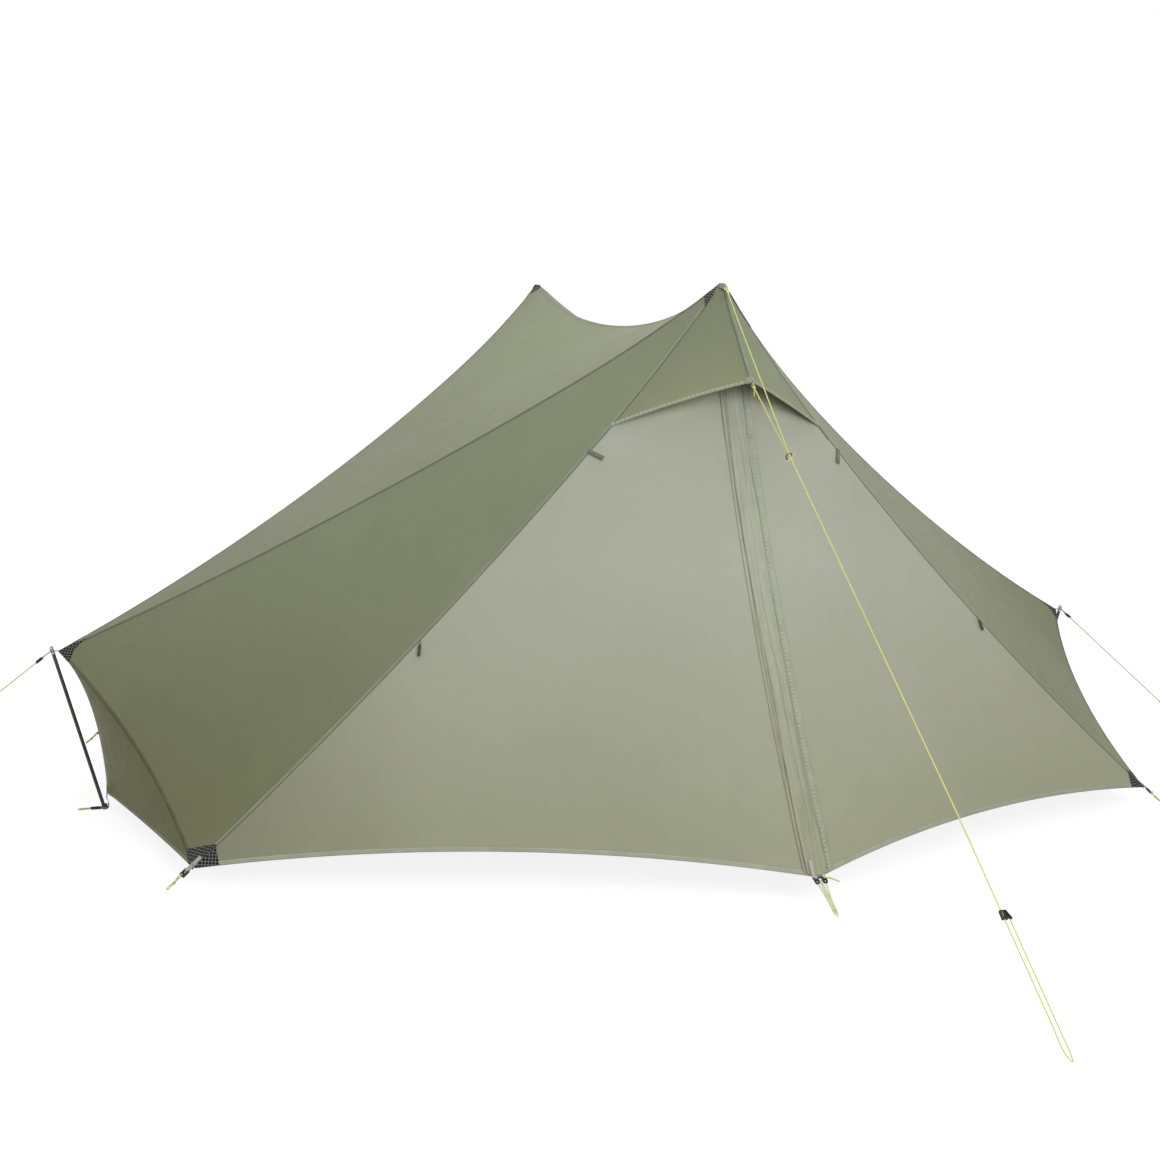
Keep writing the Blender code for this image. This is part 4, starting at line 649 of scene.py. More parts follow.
def seam_at(seams, key, shares):
    """Points along a seam of the front left quarter; one that crosses a mirror plane goes on over it."""
    line = seams[key]
    knots = list(np.linspace(0.0, 1.0, len(line)))
    if key[0] == "PF" and len(line) == len(PEAK_ROWS):
        knots = list(PEAK_ROWS)
    over = line * (1, -1, 1)
    if key == ("ML", "FL"):
        line = np.concatenate([over[:0:-1], line])
        knots = [-k for k in knots[:0:-1]] + knots
    if key == ("PF", "R"):
        line = np.concatenate([line, over[-2::-1]])
        knots = knots + [2 - k for k in knots[-2::-1]]
    return spline(knots, line, shares)


class Panel:
    """A panel of the front left quarter as a triangle of rows, from its first corner down."""

    def __init__(self, seams, name, rows, mirror=None):
        self.count = n = len(rows) - 1
        a, b, c = PANELS[name]
        ab, ac = seam_at(seams, (a, b), rows), seam_at(seams, (a, c), rows)
        self.keys, self.faces = triangle_rows(n)
        row, step = self.keys.T
        across = step / np.maximum(row, 1)
        self.place = ab[row] * (1 - across)[:, None] + ac[row] * across[:, None]
        self.place[row == n] = seam_at(seams, (b, c), np.linspace(0.0, 1.0, n + 1))
        rim = (step == 0) | (step == row) | (row == n)
        loose = {"bc": (row == n) & (step > 0) & (step < n), "ab": (step == 0) & (row > 0) & (row < n),
                 None: np.zeros(len(rim), bool)}[mirror]
        for _ in range(PANEL_STEPS):
            weight = film_weights(self.place, self.faces, np.ones(len(self.faces)))
            self.place = relaxed(self.place, weight, [rim & ~loose, rim, rim & ~loose])
        if a == "PF":
            self.place = over_pole(self.place)
        part = row / n
        self.shares = np.stack([1 - part, part * (1 - across), part * across], axis=1)

    def at(self, row, step):
        return self.place[row * (row + 1) // 2 + step]

    def on_row(self, row, at):
        """A point on a row, at a place counted in its steps."""
        at = min(max(at, 0.0), row)
        low = min(int(at), max(row - 1, 0))
        first = self.at(row, low)
        return first + (self.at(row, min(low + 1, row)) - first) * (at - low)

    def between(self, row, at_on):
        """A point between two rows; at_on gives its place on a row."""
        low = min(int(row), self.count - 1)
        first, second = (self.on_row(k, at_on(k)) for k in (low, low + 1))
        return first + (second - first) * (row - low)

    def at_shares(self, shares):
        """The point with some shares of the panel's three corners."""
        turn = shares[2] / max(1 - shares[0], 1e-9)
        return self.between((1 - shares[0]) * self.count, lambda k: turn * k)

    def inside(self, row, way):
        """A point some distance in from the side a-c, along the panel's rows."""
        return self.between(row, lambda k: k - way / np.linalg.norm(self.at(k, k) - self.at(k, k - 1)))

    def copies(self, quarters, faces=slice(None)):
        """Its mirror images in some quarters of the tent, as one mesh with its corners' shares."""
        return gather([(mirrored(self.place, side, end), self.faces[faces], self.shares)
                       for side, end in quarters])


# Meshes

def crossed(points, faces):
    a, b, c = np.moveaxis(points[faces], 1, 0)
    return np.cross(b - a, c - a)


def gather(pieces):
    """Join meshes: points within a hair of each other become one, and faces look outward.

    Each piece is its points, its triangles, and something to keep for each point.
    """
    starts = np.cumsum([0] + [len(piece[0]) for piece in pieces])
    points, extra = (np.concatenate([piece[k] for piece in pieces]) for k in (0, 2))
    faces = np.concatenate([piece[1] + start for piece, start in zip(pieces, starts)])
    _, first, back = np.unique(np.round(points, 6) + 0.0, axis=0, return_index=True,
                               return_inverse=True)
    points, extra, faces = points[first], extra[first], back.ravel()[faces]
    faces = faces[(faces != np.roll(faces, 1, axis=1)).all(axis=1)]
    inward = (crossed(points, faces) * (points[faces].mean(axis=1) - CENTRE)).sum(axis=1) < 0
    faces[inward] = faces[inward][:, ::-1]
    return points, faces, extra


def used_only(points, faces, extra):
    """Drop the points that no face uses."""
    used, back = np.unique(faces, return_inverse=True)
    return points[used], back.reshape(faces.shape), extra[used]


def thick_sheet(points, faces, thick, top=0.0):
    """Closed shell of cloth between two depths under a surface."""
    normal = np.zeros_like(points)
    for k in range(3):
        np.add.at(normal, faces[:, k], crossed(points, faces))
    normal = units(normal)
    size = len(points)
    made = np.concatenate([points - normal * top, points - normal * (top + thick)])
    edges = np.concatenate([faces[:, [0, 1]], faces[:, [1, 2]], faces[:, [2, 0]]]).astype(np.int64)
    rim = edges[~np.isin(edges @ (size, 1), edges @ (1, size))]
    walls = [(v, u, u + size, v + size) for u, v in rim]
    return made, faces.tolist() + (faces[:, ::-1] + size).tolist() + walls


def flat_uv(points, faces):
    """Plane coordinates in metres: u level, v up the slope."""
    normal = unit(crossed(points, faces).sum(axis=0))
    level = unit(np.cross(Z, normal)) if abs(normal[2]) < 0.999 else X
    return points @ np.stack([level, np.cross(normal, level)], axis=1)


def twice(values):
    return np.concatenate([values, values])


def add_sheet(name, mesh, look, node, body="tent", top=0.0, fan=True):
    """A panel of stretched cloth as its own object, over a solid that it replaces."""
    points, faces, shares = mesh
    uv = flat_uv(points, faces)
    made, shell = thick_sheet(points, faces, CLOTH, top)
    thing = add_object(name, made, shell, look, body, twice(uv), fan=twice(shares[:, 1:]) if fan else None)
    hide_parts(node)


def turned_out(points, faces):
    """Reverse all faces if the closed mesh is inside out."""
    corners = np.array([(f[0], f[k], f[k + 1]) for f in faces for k in range(1, len(f) - 1)])
    a, b, c = np.moveaxis(points[corners], 1, 0)
    return [tuple(f[::-1]) for f in faces] if (np.cross(a, b) * c).sum() < 0 else faces


def loft(sections, across):
    """Closed band through loops of points; u runs along it, and v is given for a loop's points."""
    sections = np.array(sections)
    count, size = sections.shape[:2]
    steps = np.linalg.norm(np.diff(sections.mean(axis=1), axis=0), axis=1)
    run = np.concatenate([[0.0], np.cumsum(steps)])
    points = sections.reshape(-1, 3)
    uv = np.stack([np.repeat(run, size), np.tile(across, count)], axis=1)
    faces = [(k * size + n, k * size + (n + 1) % size, (k + 1) * size + (n + 1) % size,
              (k + 1) * size + n) for k in range(count - 1) for n in range(size)]
    faces += [tuple(range(size))[::-1], tuple((count - 1) * size + n for n in range(size))]
    return points, turned_out(points, faces), uv


def smooth_route(route, step=0.0015):
    """Points along one smooth curve through a route's own points, about a step apart."""
    points = [np.array(p, float) for p in route]
    ends = [2 * points[0] - points[1]] + points + [2 * points[-1] - points[-2]]
    made = []
    for k in range(1, len(ends) - 2):
        a, b, c, d = ends[k - 1:k + 3]
        before, span, after = (np.linalg.norm(v) for v in (b - a, c - b, d - c))
        leave = (c - a) * span / max(span + before, 1e-9)
        reach = (d - b) * span / max(after + span, 1e-9)
        pieces = max(1, round(span / step))
        for t in np.arange(pieces) / pieces:
            made.append((2 * t ** 3 - 3 * t ** 2 + 1) * b + (t ** 3 - 2 * t ** 2 + t) * leave
                        + (-2 * t ** 3 + 3 * t ** 2) * c + (t ** 3 - t ** 2) * reach)
    return np.array(made + [points[-1]])


def add_cord(name, route, step, node):
    """A free cord as a curve along its route."""
    line = smooth_route(route, step)
    curve = bpy.data.curves.new(name, "CURVE")
    curve.dimensions = "3D"
    curve.bevel_depth, curve.bevel_resolution, curve.use_fill_caps = CORD_RADIUS, 3, True
    strand = curve.splines.new("POLY")
    strand.points.add(len(line) - 1)
    for point, place in zip(strand.points, line):
        point.co = (*place, 1.0)
    material, slot = LOOKS["cord"]
    curve.materials.append(material)
    thing = link(name, curve)
    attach(thing, "tent")
    if node:
        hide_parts(node)


class Bits:
    """Several closed shapes that make one object."""

    def __init__(self, *shapes):
        self.points, self.faces, self.uv, self.count = [], [], [], 0
        for shape in shapes:
            self.add(*shape)

    def add(self, points, faces, uv=None):
        points = np.array(points, float)
        self.faces += [tuple(int(n) + self.count for n in face) for face in faces]
        self.points.append(points)
        self.uv.append(np.zeros((len(points), 2)) if uv is None else np.array(uv, float))
        self.count += len(points)

    def make(self, name, look, body="tent", replaced=None, smooth=45):
        made = add_object(name, np.concatenate(self.points), self.faces, look, body,
                          np.concatenate(self.uv), smooth)
        if replaced:
            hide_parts(replaced)
        return made


def tube(path, radius, sides=10):
    """Round bar with domed ends along a path."""
    path = np.array(path, float)
    along = units(np.gradient(path, axis=0))
    first = []
    way = Z if abs(along[0][2]) < 0.9 else X
    for ahead in along:
        way = square_to(way, ahead)
        first.append(way)
    second = np.cross(along, first)
    dome, last = ((-1.0, 0.25), (-0.8, 0.65), (-0.4, 0.92)), len(path) - 1
    rows = [(0, away, size) for away, size in dome] + [(k, 0.0, 1.0) for k in range(len(path))] \
        + [(last, -away, size) for away, size in dome[::-1]]
    turn = np.arange(sides) * 2 * pi / sides
    return loft([path[k] + radius * (along[k] * away + size * (
        np.outer(np.cos(turn), first[k]) + np.outer(np.sin(turn), second[k])))
        for k, away, size in rows], turn * radius)


def ring(middle, first, second, axis, section, count):
    """Closed ring round an axis; its section's points are (distance out, height)."""
    size = len(section)
    turn = np.arange(count) * 2 * pi / count
    out = np.outer(np.cos(turn), first) + np.outer(np.sin(turn), second)
    points = np.concatenate([[middle + way * a + axis * b for a, b in section] for way in out])
    faces = [(k * size + n, (k + 1) % count * size + n, (k + 1) % count * size + (n + 1) % size,
              k * size + (n + 1) % size) for k in range(count) for n in range(size)]
    return points, turned_out(points, faces)


def hoop(middle, first, second, radius, thick, count=20, sides=8):
    """Ring of round bar."""
    turns = [2 * pi * n / sides for n in range(sides)]
    return ring(middle, first, second, np.cross(first, second),
                [(radius + thick * cos(a), thick * sin(a)) for a in turns], count)


def band(middle, first, second, axis, radius, high, thick):
    """Flat band round an axis."""
    return ring(middle, first, second, axis, [
        (radius - thick, -high / 2), (radius, -high / 2 * 0.94), (radius, high / 2 * 0.94),
        (radius - thick, high / 2)], 28)


def rounded(value, power):
    return np.sign(value) * np.abs(value) ** power


def slab(first, last, wide, width, thick, corner):
    """Flat moulded bar with rounded edges and rounded ends."""
    along = unit(last - first)
    wide = square_to(wide, along)
    up = np.cross(along, wide)
    length = np.linalg.norm(last - first)
    turn = np.arange(20) * 2 * pi / 20
    x, y = rounded(np.cos(turn), 0.35), rounded(np.sin(turn), 0.55)
    rows = []
    for away in corner * np.array((0.0, 0.06, 0.2, 0.45, 0.75, 1.0)):
        size = 1 - (corner - np.sqrt(max(corner ** 2 - (corner - away) ** 2, 0.0))) / (width / 2)
        flat = 0.45 + 0.55 * np.sqrt(1 - (1 - min(away / (thick / 2), 1.0)) ** 2)
        rows.append((away, size * width / 2, flat * thick / 2))
    rows += [(length - away, size, flat) for away, size, flat in rows[::-1]]
    return loft([first + along * away + np.outer(x * size, wide) + np.outer(y * flat, up)
                 for away, size, flat in rows], np.arange(20) * 0.001)


def ribbon(route, wide, width, thick=0.0011, step=0.0015):
    """Webbing along a smooth route; wide is the way across it."""
    path = smooth_route(route, step)
    along = units(np.gradient(path, axis=0))
    wide = units(wide - along * (wide * along).sum(axis=1)[:, None])
    up = np.cross(along, wide)
    half, t = width / 2, thick / 2
    right = [(half * 0.92, t), (half, t * 0.5), (half, -t * 0.5), (half * 0.92, -t)]
    loop = [(-half, -t * 0.5), (-half, t * 0.5), (-half * 0.92, t), (0.0, t * 1.05), *right,
            (0.0, -t * 1.05), (-half * 0.92, -t)]
    return loft(np.stack([path + wide * a + up * b for a, b in loop], axis=1), [a for a, _ in loop])


def strand(route, radius=THIN_CORD, step=0.0015, sides=7):
    """Round bar along a smooth route."""
    return tube(smooth_route(route, step), radius, sides)


def knot_at(place, along, *tails):
    """Overhand knot: three tight turns of the cord round it, and its tails."""
    along = unit(along)
    side = unit(np.cross(along, (0.3, 0.5, 0.8)))
    up = np.cross(along, side)
    bits = Bits()
    for shift, lean in ((-1.6, 0.45), (0.0, -0.5), (1.6, 0.35)):
        bits.add(*hoop(place + along * shift * CORD_RADIUS, unit(side + along * lean),
                       unit(up + along * lean * 0.4), 1.75 * CORD_RADIUS, THIN_CORD, 14, 7))
    for reach in tails:
        bend = place + reach * 0.5 + Z * 0.12 * np.linalg.norm(reach)
        bits.add(*strand([place, bend, place + reach], step=0.003))
    return bits


def peg_loop(name, end_place, back, flat):
    """Eye at the end of a cord that goes over its peg, with its knot."""
    flat = square_to(flat, back)
    route = placed(end_place, (back, flat), (18, 0), (11.25, 4.125), (3.75, 4.5), (0.15, 0),
                   (3.75, -4.5), (11.25, -4.125), (18, 0))
    bits = knot_at(end_place + back * 0.01875, back, back * 0.012 + flat * 0.006)
    bits.add(*strand(route, step=0.002))
    return bits.make(name, "cord")


def line_lock(name, first, along, wide, width, thick, length=LOCK_LENGTH):
    """Ladder lock: two rails, three bars and a cleat between them."""
    up = np.cross(along, wide)
    rail = width * 0.21
    half = wide * (width - rail) / 2
    bits = Bits()
    for off in (-half, half):
        bits.add(*slab(first + off, first + along * length + off, up, thick, rail, thick * 0.42))
    for share, size in ((0.12, 0.30), (0.56, 0.34), (0.90, 0.34)):
        middle = first + along * length * share
        bits.add(*tube([middle - half, middle, middle + half], thick * size, 8))
    plate = first + along * length * 0.62 - up * thick * 0.16
    bits.add(*slab(plate, plate + along * length * 0.30, wide, width - 1.6 * rail, thick * 0.34,
                   rail * 0.5))
    bits.make(name, "black")


# Seams, hems and patches

class Rim:
    """One side of a panel: its points, the ways into the panel there and its outward normals."""

    def __init__(self, line, into, normal):
        self.line, self.into, self.normal = line, into, normal

    def part(self, first, last, count):
        """Evenly placed points between two places, counted in the panel's own rows."""
        at = np.linspace(first, last, count + 1)
        k = np.clip(at.astype(int), 0, len(self.line) - 2)
        share = (at - k)[:, None]
        line, into, normal = (v[k] * (1 - share) + v[k + 1] * share
                              for v in (self.line, self.into, self.normal))
        return Rim(line, units(into), units(normal))

    def mirrored(self, side, end):
        return Rim(*(mirrored(v, side, end) for v in (self.line, self.into, self.normal)))


def rim_through(line, near):
    """The rim along a line of points, with the points next to them inside the panel."""
    along = units(np.gradient(line, axis=0))
    into = near - line
    into = units(into - along * (into * along).sum(axis=1)[:, None])
    normal = np.cross(along, into)
    return Rim(line, into, normal * np.sign(((line - CENTRE) * normal).sum(axis=1))[:, None])


def rim_of(panel, which):
    n = panel.count
    k = np.arange(n + 1)
    above = np.maximum(k, 1)
    if which == "ab":
        return rim_through(panel.at(k, 0), panel.at(above, 1))
    if which == "ac":
        return rim_through(panel.at(k, k), panel.at(above, above - 1))
    return rim_through(panel.at(n, k), panel.at(n - 1, np.minimum(k, n - 1)))


def add_loft(name, loop, across, look, body="tent", smooth=50):
    points, faces, uv = loft(np.stack(loop, axis=1), across)
    return add_object(name, points, faces, look, body, uv, smooth)


def add_seam(name, first, second, wide, look, high=0.0009):
    """Flat felled seam over the line between two panels; wide is how far it goes on to each."""
    p, n, m = first.line, first.normal, second.normal
    i, j = first.into * wide[0], second.into * wide[1]
    mitre = n + m
    mitre = mitre / (mitre * n).sum(axis=1)[:, None]
    loop = [p + i + n * 0.0001, p + i + n * high * 0.7, p + i * 0.6 + n * high, p + mitre * high * 0.8,
            p + j * 0.6 + m * high, p + j + m * high * 0.7, p + j + m * 0.0001, p + mitre * 0.0001]
    add_loft(name, loop, [-wide[0], -wide[0], -wide[0] * 0.6, 0.0, wide[1] * 0.6, wide[1], wide[1], 0.0],
             look)


def add_hem(name, rim, wide, look, body="tent", high=0.0007):
    """Tape folded over the edge of a panel."""
    p, i, n = rim.line, rim.into, rim.normal
    under = CLOTH + high
    rows = ((wide, 0.0001), (wide * 0.96, high), (wide * 0.3, high * 1.2), (0.0, high * 0.7),
            (-high, -CLOTH * 0.5), (0.0, -under * 0.9), (wide * 0.96, -under), (wide, -CLOTH))
    add_loft(name, [p + i * across + n * up for across, up in rows], [across for across, _ in rows],
             look, body)


def build_seams(panels):
    """Felled seams between the panels, and tapes round the hems."""
    rims = {(name, which): rim_of(panel, which)
            for name, panel in panels.items() for which in ("ab", "bc", "ac")}
    for side, end in QUARTERS:
        def at(name, which, first=0.6, last=FINE, count=120):
            return rims[name, which].part(first, last, count).mirrored(side, end)

        word = f"{END[end]}_{SIDE[side]}"
        add_seam(f"{word}_tip_seam", at("side", "ab"), at("roof", "ac"), (0.0035, 0.0030), "seam")
        add_seam(f"{word}_corner_seam", at("side", "ac"), at("door", "ab"), (0.0075, 0.0008), "felled")
        add_seam(f"{word}_end_seam", at("side", "bc", 0, FINE, 60), at("end", "ac", 0, FINE, 60),
                 (0.0052, 0.0050), "fold")
        add_hem(f"{word}_end_hem", at("end", "bc", 0, FINE, 48), 0.0080, "hem")
        add_hem(f"{word}_door_hem", at("door", "bc", 0.12, FINE - 0.02, 70), 0.0090, "hem",
                f"{word}_door")
    for end in (1, -1):
        left, right = (rims["roof", "ab"].part(0.6, FINE, 90).mirrored(side, end) for side in (1, -1))
        add_seam(f"{END[end]}_ridge_seam", left, right, (0.0060, 0.0060), "felled")


def patch_on(panel, corner, first, second, bow, rings=8, steps=12):
    """Shell of a patch in a panel's corner: its reach down both sides, with a hollow outer edge."""
    others = [k for k in range(3) if k != corner]
    tip = np.eye(3)[corner]
    reach = []
    for other, far in zip(others, (first, second)):
        way = np.eye(3)[other] - tip
        low, high = 0.0, 1.0
        for _ in range(24):
            middle = (low + high) / 2
            off = panel.at_shares(tip + way * middle) - panel.at_shares(tip)
            low, high = (middle, high) if np.linalg.norm(off) < far else (low, middle)
        reach.append(low)
    points = []
    for share in np.arange(rings + 1) / rings:
        for turn in np.arange(steps + 1) / steps:
            out = (reach[0] + (reach[1] - reach[0]) * turn) * (1 - bow * 4 * turn * (1 - turn)) * share
            shares = tip * (1 - out)
            shares[others] = out * (1 - turn), out * turn
            points.append(panel.at_shares(shares))
    points = np.array(points)
    points, faces, _ = gather([(points, grid_faces(rings, steps), points)])
    uv = flat_uv(points, faces)
    made, shell = thick_sheet(points, faces, CLOTH, -(FIT_GAP + CLOTH))
    return made, shell, twice(uv)


def grid_faces(rows, columns):
    """Triangles of a grid of points with columns + 1 points in each of rows + 1 rows."""
    faces = []
    for row in range(rows):
        for k in range(columns):
            a = row * (columns + 1) + k
            b = a + columns + 1
            faces += [(a, b, b + 1), (a, b + 1, a + 1)]
    return np.array(faces)


def build_patches(panels):
    """Black ripstop at the peaks, on the tips, on the ground corners and on the leaves' corners."""
    parts = {
        "peak": (("roof", 0, 0.032, 0.040, 0.10), ("side", 0, 0.046, 0.064, 0.04)),
        "tip": (("side", 1, 0.068, 0.044, 0.22), ("end", 0, 0.030, 0.044, 0.10),
                ("roof", 2, 0.068, 0.036, 0.12)),
        "corner": (("side", 2, 0.064, 0.058, 0.05), ("end", 2, 0.058, 0.030, 0.10)),
        "door": (("door", 1, 0.060, 0.052, 0.0),)}
    shapes = {label: [patch_on(panels[name], *sizes) for name, *sizes in rows]
              for label, rows in parts.items()}
    for side, end in QUARTERS:
        word = f"{END[end]}_{SIDE[side]}"
        for label, body, replaced in (
                ("peak", "tent", f"{END[end]}_peak_patch"), ("tip", "tent", f"{SIDE[side]}_tip_patch"),
                ("corner", "tent", f"{word}_corner_tie_out"), ("door", f"{word}_door", None)):
            bits = Bits()
            for points, faces, uv in shapes[label]:
                points = mirrored(points, side, end)
                bits.add(points, turned_out(points, faces), uv)
            bits.make(f"{word}_{label}_ripstop", "patch", body, replaced, 60)


def visor_middle(end):
    return np.array((0.0, -(PEAK_Y + VISOR_OUT) * end, PEAK_HEIGHT - VISOR_DROP))


def peak_rays(seams, end):
    """A peak and its creases' directions: ridge, left seams, visor, right seams."""
    apex = mirrored(CORNERS["PF"], 1, end)
    ridge, tip, corner = (seams["PF", key][1] for key in ("R", "LT", "FL"))
    ways = [mirrored(point, side, end) for point, side in (
        (ridge, 1), (tip, 1), (corner, 1), (visor_middle(1), 1), (corner, -1), (tip, -1))]
    return apex, [unit(p - apex) for p in ways]


def build_cap(seams, end):
    """Rounded cap over a peak, longer on the door's side, with its dark binding."""
    apex, rays = peak_rays(seams, end)
    spread, rings, share = 6, 10, np.arange(11)[:, None] / 10
    count = len(rays) * spread
    grid = np.zeros((rings + 1, count + 1, 3))
    for k in range(count + 1):
        near, part = k // spread % len(rays), (k % spread) / spread
        way = rays[near] * (1 - part) + rays[(near + 1) % len(rays)] * part
        way = way / np.linalg.norm(way[:2])
        grid[:, k] = apex + way * share * (CAP_BACK + (CAP_FRONT - CAP_BACK) * (0.5 - 0.5 * way[1] * end))
    grid = over_pole(grid)
    high = grid[:, :-1, 2]
    for _ in range(14):
        high[:] = high * 0.5 + (np.roll(high, 1, axis=1) + np.roll(high, -1, axis=1)) * 0.25
        high[1:-1] = high[1:-1] * 0.6 + (high[:-2] + high[2:]) * 0.2
    grid[:, -1] = grid[:, 0]
    grid[..., 2] += CAP_LIFT
    points = grid.reshape(-1, 3)
    points, faces, _ = gather([(points, grid_faces(rings, count), points)])
    made, shell = thick_sheet(points, faces, 0.0006)
    add_object(f"{END[end]}_peak_cap", made, shell, "cap", uv=twice(flat_uv(points, faces)))
    Bits(tube(grid[-1], 0.0006, 7)).make(f"{END[end]}_peak_binding", "edging")


def build_peak_edging(panels):
    """Black edging down the corner seam from each peak."""
    for side, end in ((-1, 1), (1, -1)):
        rim = rim_of(panels["side"], "ac").mirrored(side, end).part(0.35, 3.2, 24)
        Bits(tube(rim.line + rim.normal * 0.0010, 0.0012, 7)).make(f"{END[end]}_peak_edging", "edging")


# Corners, ends and struts

def build_corner(seams, side, end):
    """Webbing over a corner's patch, its line lock and the cord to the peg."""
    name = f"{END[end]}_{SIDE[side]}_corner"
    apex = mirrored(CORNERS["FL"], side, end)
    tip, peak = (unit(mirrored(seams[key, "FL"][-2], side, end) - apex) for key in ("LT", "PF"))
    peak = unit(peak * 0.985 + tip * 0.015)
    up = unit(np.cross(tip, peak))
    up = up if up @ (apex - CENTRE) > 0 else -up
    beside, outward = square_to(tip, peak), -peak
    line = apex + up * (FLAT_GAP + PATCH + 0.0002) + beside * (0.006 + FLAT_GAP)
    knee = line + outward * 0.009
    lock = knee + outward * LOCK_LENGTH
    route = placed(line, (outward, up), (-26, 0.4), (-13, 0.6), (0, 0.6), (9, 1.2), (12.6, 2.2), (13.6, 0),
                   (12.4, -2.2), (9, -1.2), (3, -0.6))
    Bits(ribbon(route, beside, 0.0105)).make(f"{name}_strap", "webbing")
    line_lock(f"{name}_line_lock", knee, outward, beside, 0.014, 0.0050)
    first = lock + outward * CORD_END
    peg = mirrored((-CORNER_X - CORNER_PEG_OUT, -CORNER_Y, PEG_HEIGHT), side, end)
    back = unit(first - peg)
    eye = peg_loop(f"{name}_peg_loop", peg, back, Y)
    tail = Bits(strand(placed(lock, (outward, up, beside), (-4, 2, 0), (3, 4, 0), (12, -2, 6))))
    tail = tail.make(f"{name}_tail", "cord")
    add_cord(f"{name}_line", [lock - outward * 0.013, lock - outward * 0.003,
                              first + outward * CORD_STRAIGHT, peg + back * 0.010],
             0.003, f"{name}_cord")


def end_geometry(side):
    """A strut's foot and top, and the way up it."""
    foot = mirrored((-END_HEM_X - STRUT_FOOT_OUT, 0.0, 0.0), side, 1)
    top = mirrored((-TIP_X - STRUT_TOP_OUT, 0.0, TIP_Z + STRUT_TOP_UP), side, 1)
    return foot, top, unit(top - foot)


def build_end(side):
    """Straps from the fly's tip over the strut's head to the end guy, and round the strut's foot."""
    word = SIDE[side]
    foot, top, along = end_geometry(side)
    level = top - along * 0.008
    down = unit(np.array((-END_GUY_FOOT_X * side, 0.0, 0.0)) - level)
    knee = level + down * (HEAD_HOLE + 0.0224)
    lock = knee + down * LOCK_LENGTH
    tip = mirrored(CORNERS["LT"], side, 1)
    inward = unit(tip - level)
    up = upward(unit(np.cross(Y, inward)))
    near_hole = HEAD_HOLE * 1000
    Bits(band(level, np.cross(along, Y), Y, along, HEAD_HOLE + 0.0008, 0.0072, 0.0008),
         ribbon([*placed(level, (inward, up), (near_hole + 1.2, 0), (12, 0.8)),
                 *placed(tip, (inward, up), (-2, 1.6), (14, 1.0))], Y, 0.0072),
         ribbon([*placed(level, (down, up), (near_hole + 0.8, 0), (14, 0)),
                 *placed(knee, (down, up), (1, 1.2), (4, 0.4), (3.4, -1.8), (-4, -1))], Y, 0.0080)
         ).make(f"{word}_head_strap", "webbing", replaced=f"{word}_end_line_lock")
    line_lock(f"{word}_end_lock", knee, down, Y, 0.011, 0.0050)
    first = lock + down * CORD_END
    peg = np.array((-END_GUY_FOOT_X * side, 0.0, PEG_HEIGHT))
    share = (END_GUY_SHOWN_X[side] - abs(first[0])) / (END_GUY_FOOT_X - abs(first[0]))
    last = first + (peg - first) * share
    back = unit(first - last)
    eye = peg_loop(f"{word}_end_peg_loop", last, back, Y)
    near = last + back * 0.018
    add_cord(f"{word}_end_line", [lock - down * 0.004, (first + near) / 2, near], 0.02,
             f"{word}_end_guy")
    build_foot(side, foot)


def build_foot(side, foot):
    """Strap from the end hem round the strut's foot, its lock and the loop round the peg."""
    word = SIDE[side]
    out = -X * side
    middle = foot + Z * 0.0036
    hem = np.array((-(END_HEM_X - 0.0015) * side, 0.0, END_HEM_Z))
    Bits(band(middle, out, Y, Z, 0.0074, 0.0048, 0.0009),
         ribbon([*placed(middle, (out, Z), (-7.8, -1), (-8.8, 10)),
                 *placed(hem, (out, Z), (2.4, -12), (2.2, 4), (2, 14))], Y, 0.011)
         ).make(f"{word}_foot_tape", "webbing", replaced=f"{word}_foot_strap")
    start = middle + out * 0.0072
    line_lock(f"{word}_foot_lock", start, out, Y, 0.011, 0.0046, 0.024)
    lock = start + out * 0.024
    peg = np.array((-STRUT_PEG_X * side, 0.0, PEG_HEIGHT))
    route = [*placed(lock, (out, Y), (-4, -3), (4, -3)),
             *placed(peg, (out, Y), (-6, -3.6), (0, 0), (-6, 3.6)),
             *placed(lock, (out, Y), (4, 3), (-4, 3))]
    add_cord(f"{word}_foot_line", route, 0.002, None)


def dress_struts():
    """Light ferrule on each strut's tip and rings on its rubber foot."""
    for side in (1, -1):
        foot, top, along = end_geometry(side)
        third = np.cross(along, Y)
        Bits(band(top - along * 0.0030, third, Y, along, 0.0042, 0.0052, 0.0006),
             band(top - along * 0.0150, third, Y, along, 0.0046, 0.0040, 0.0005)
             ).make(f"{SIDE[side]}_strut_ferrule", "ferrule")
        Bits(*(hoop(foot + Z * height, X, Y, 0.0060, 0.0005, 24, 6) for height in (0.0075, 0.0098))
             ).make(f"{SIDE[side]}_strut_foot", "black")


# The door

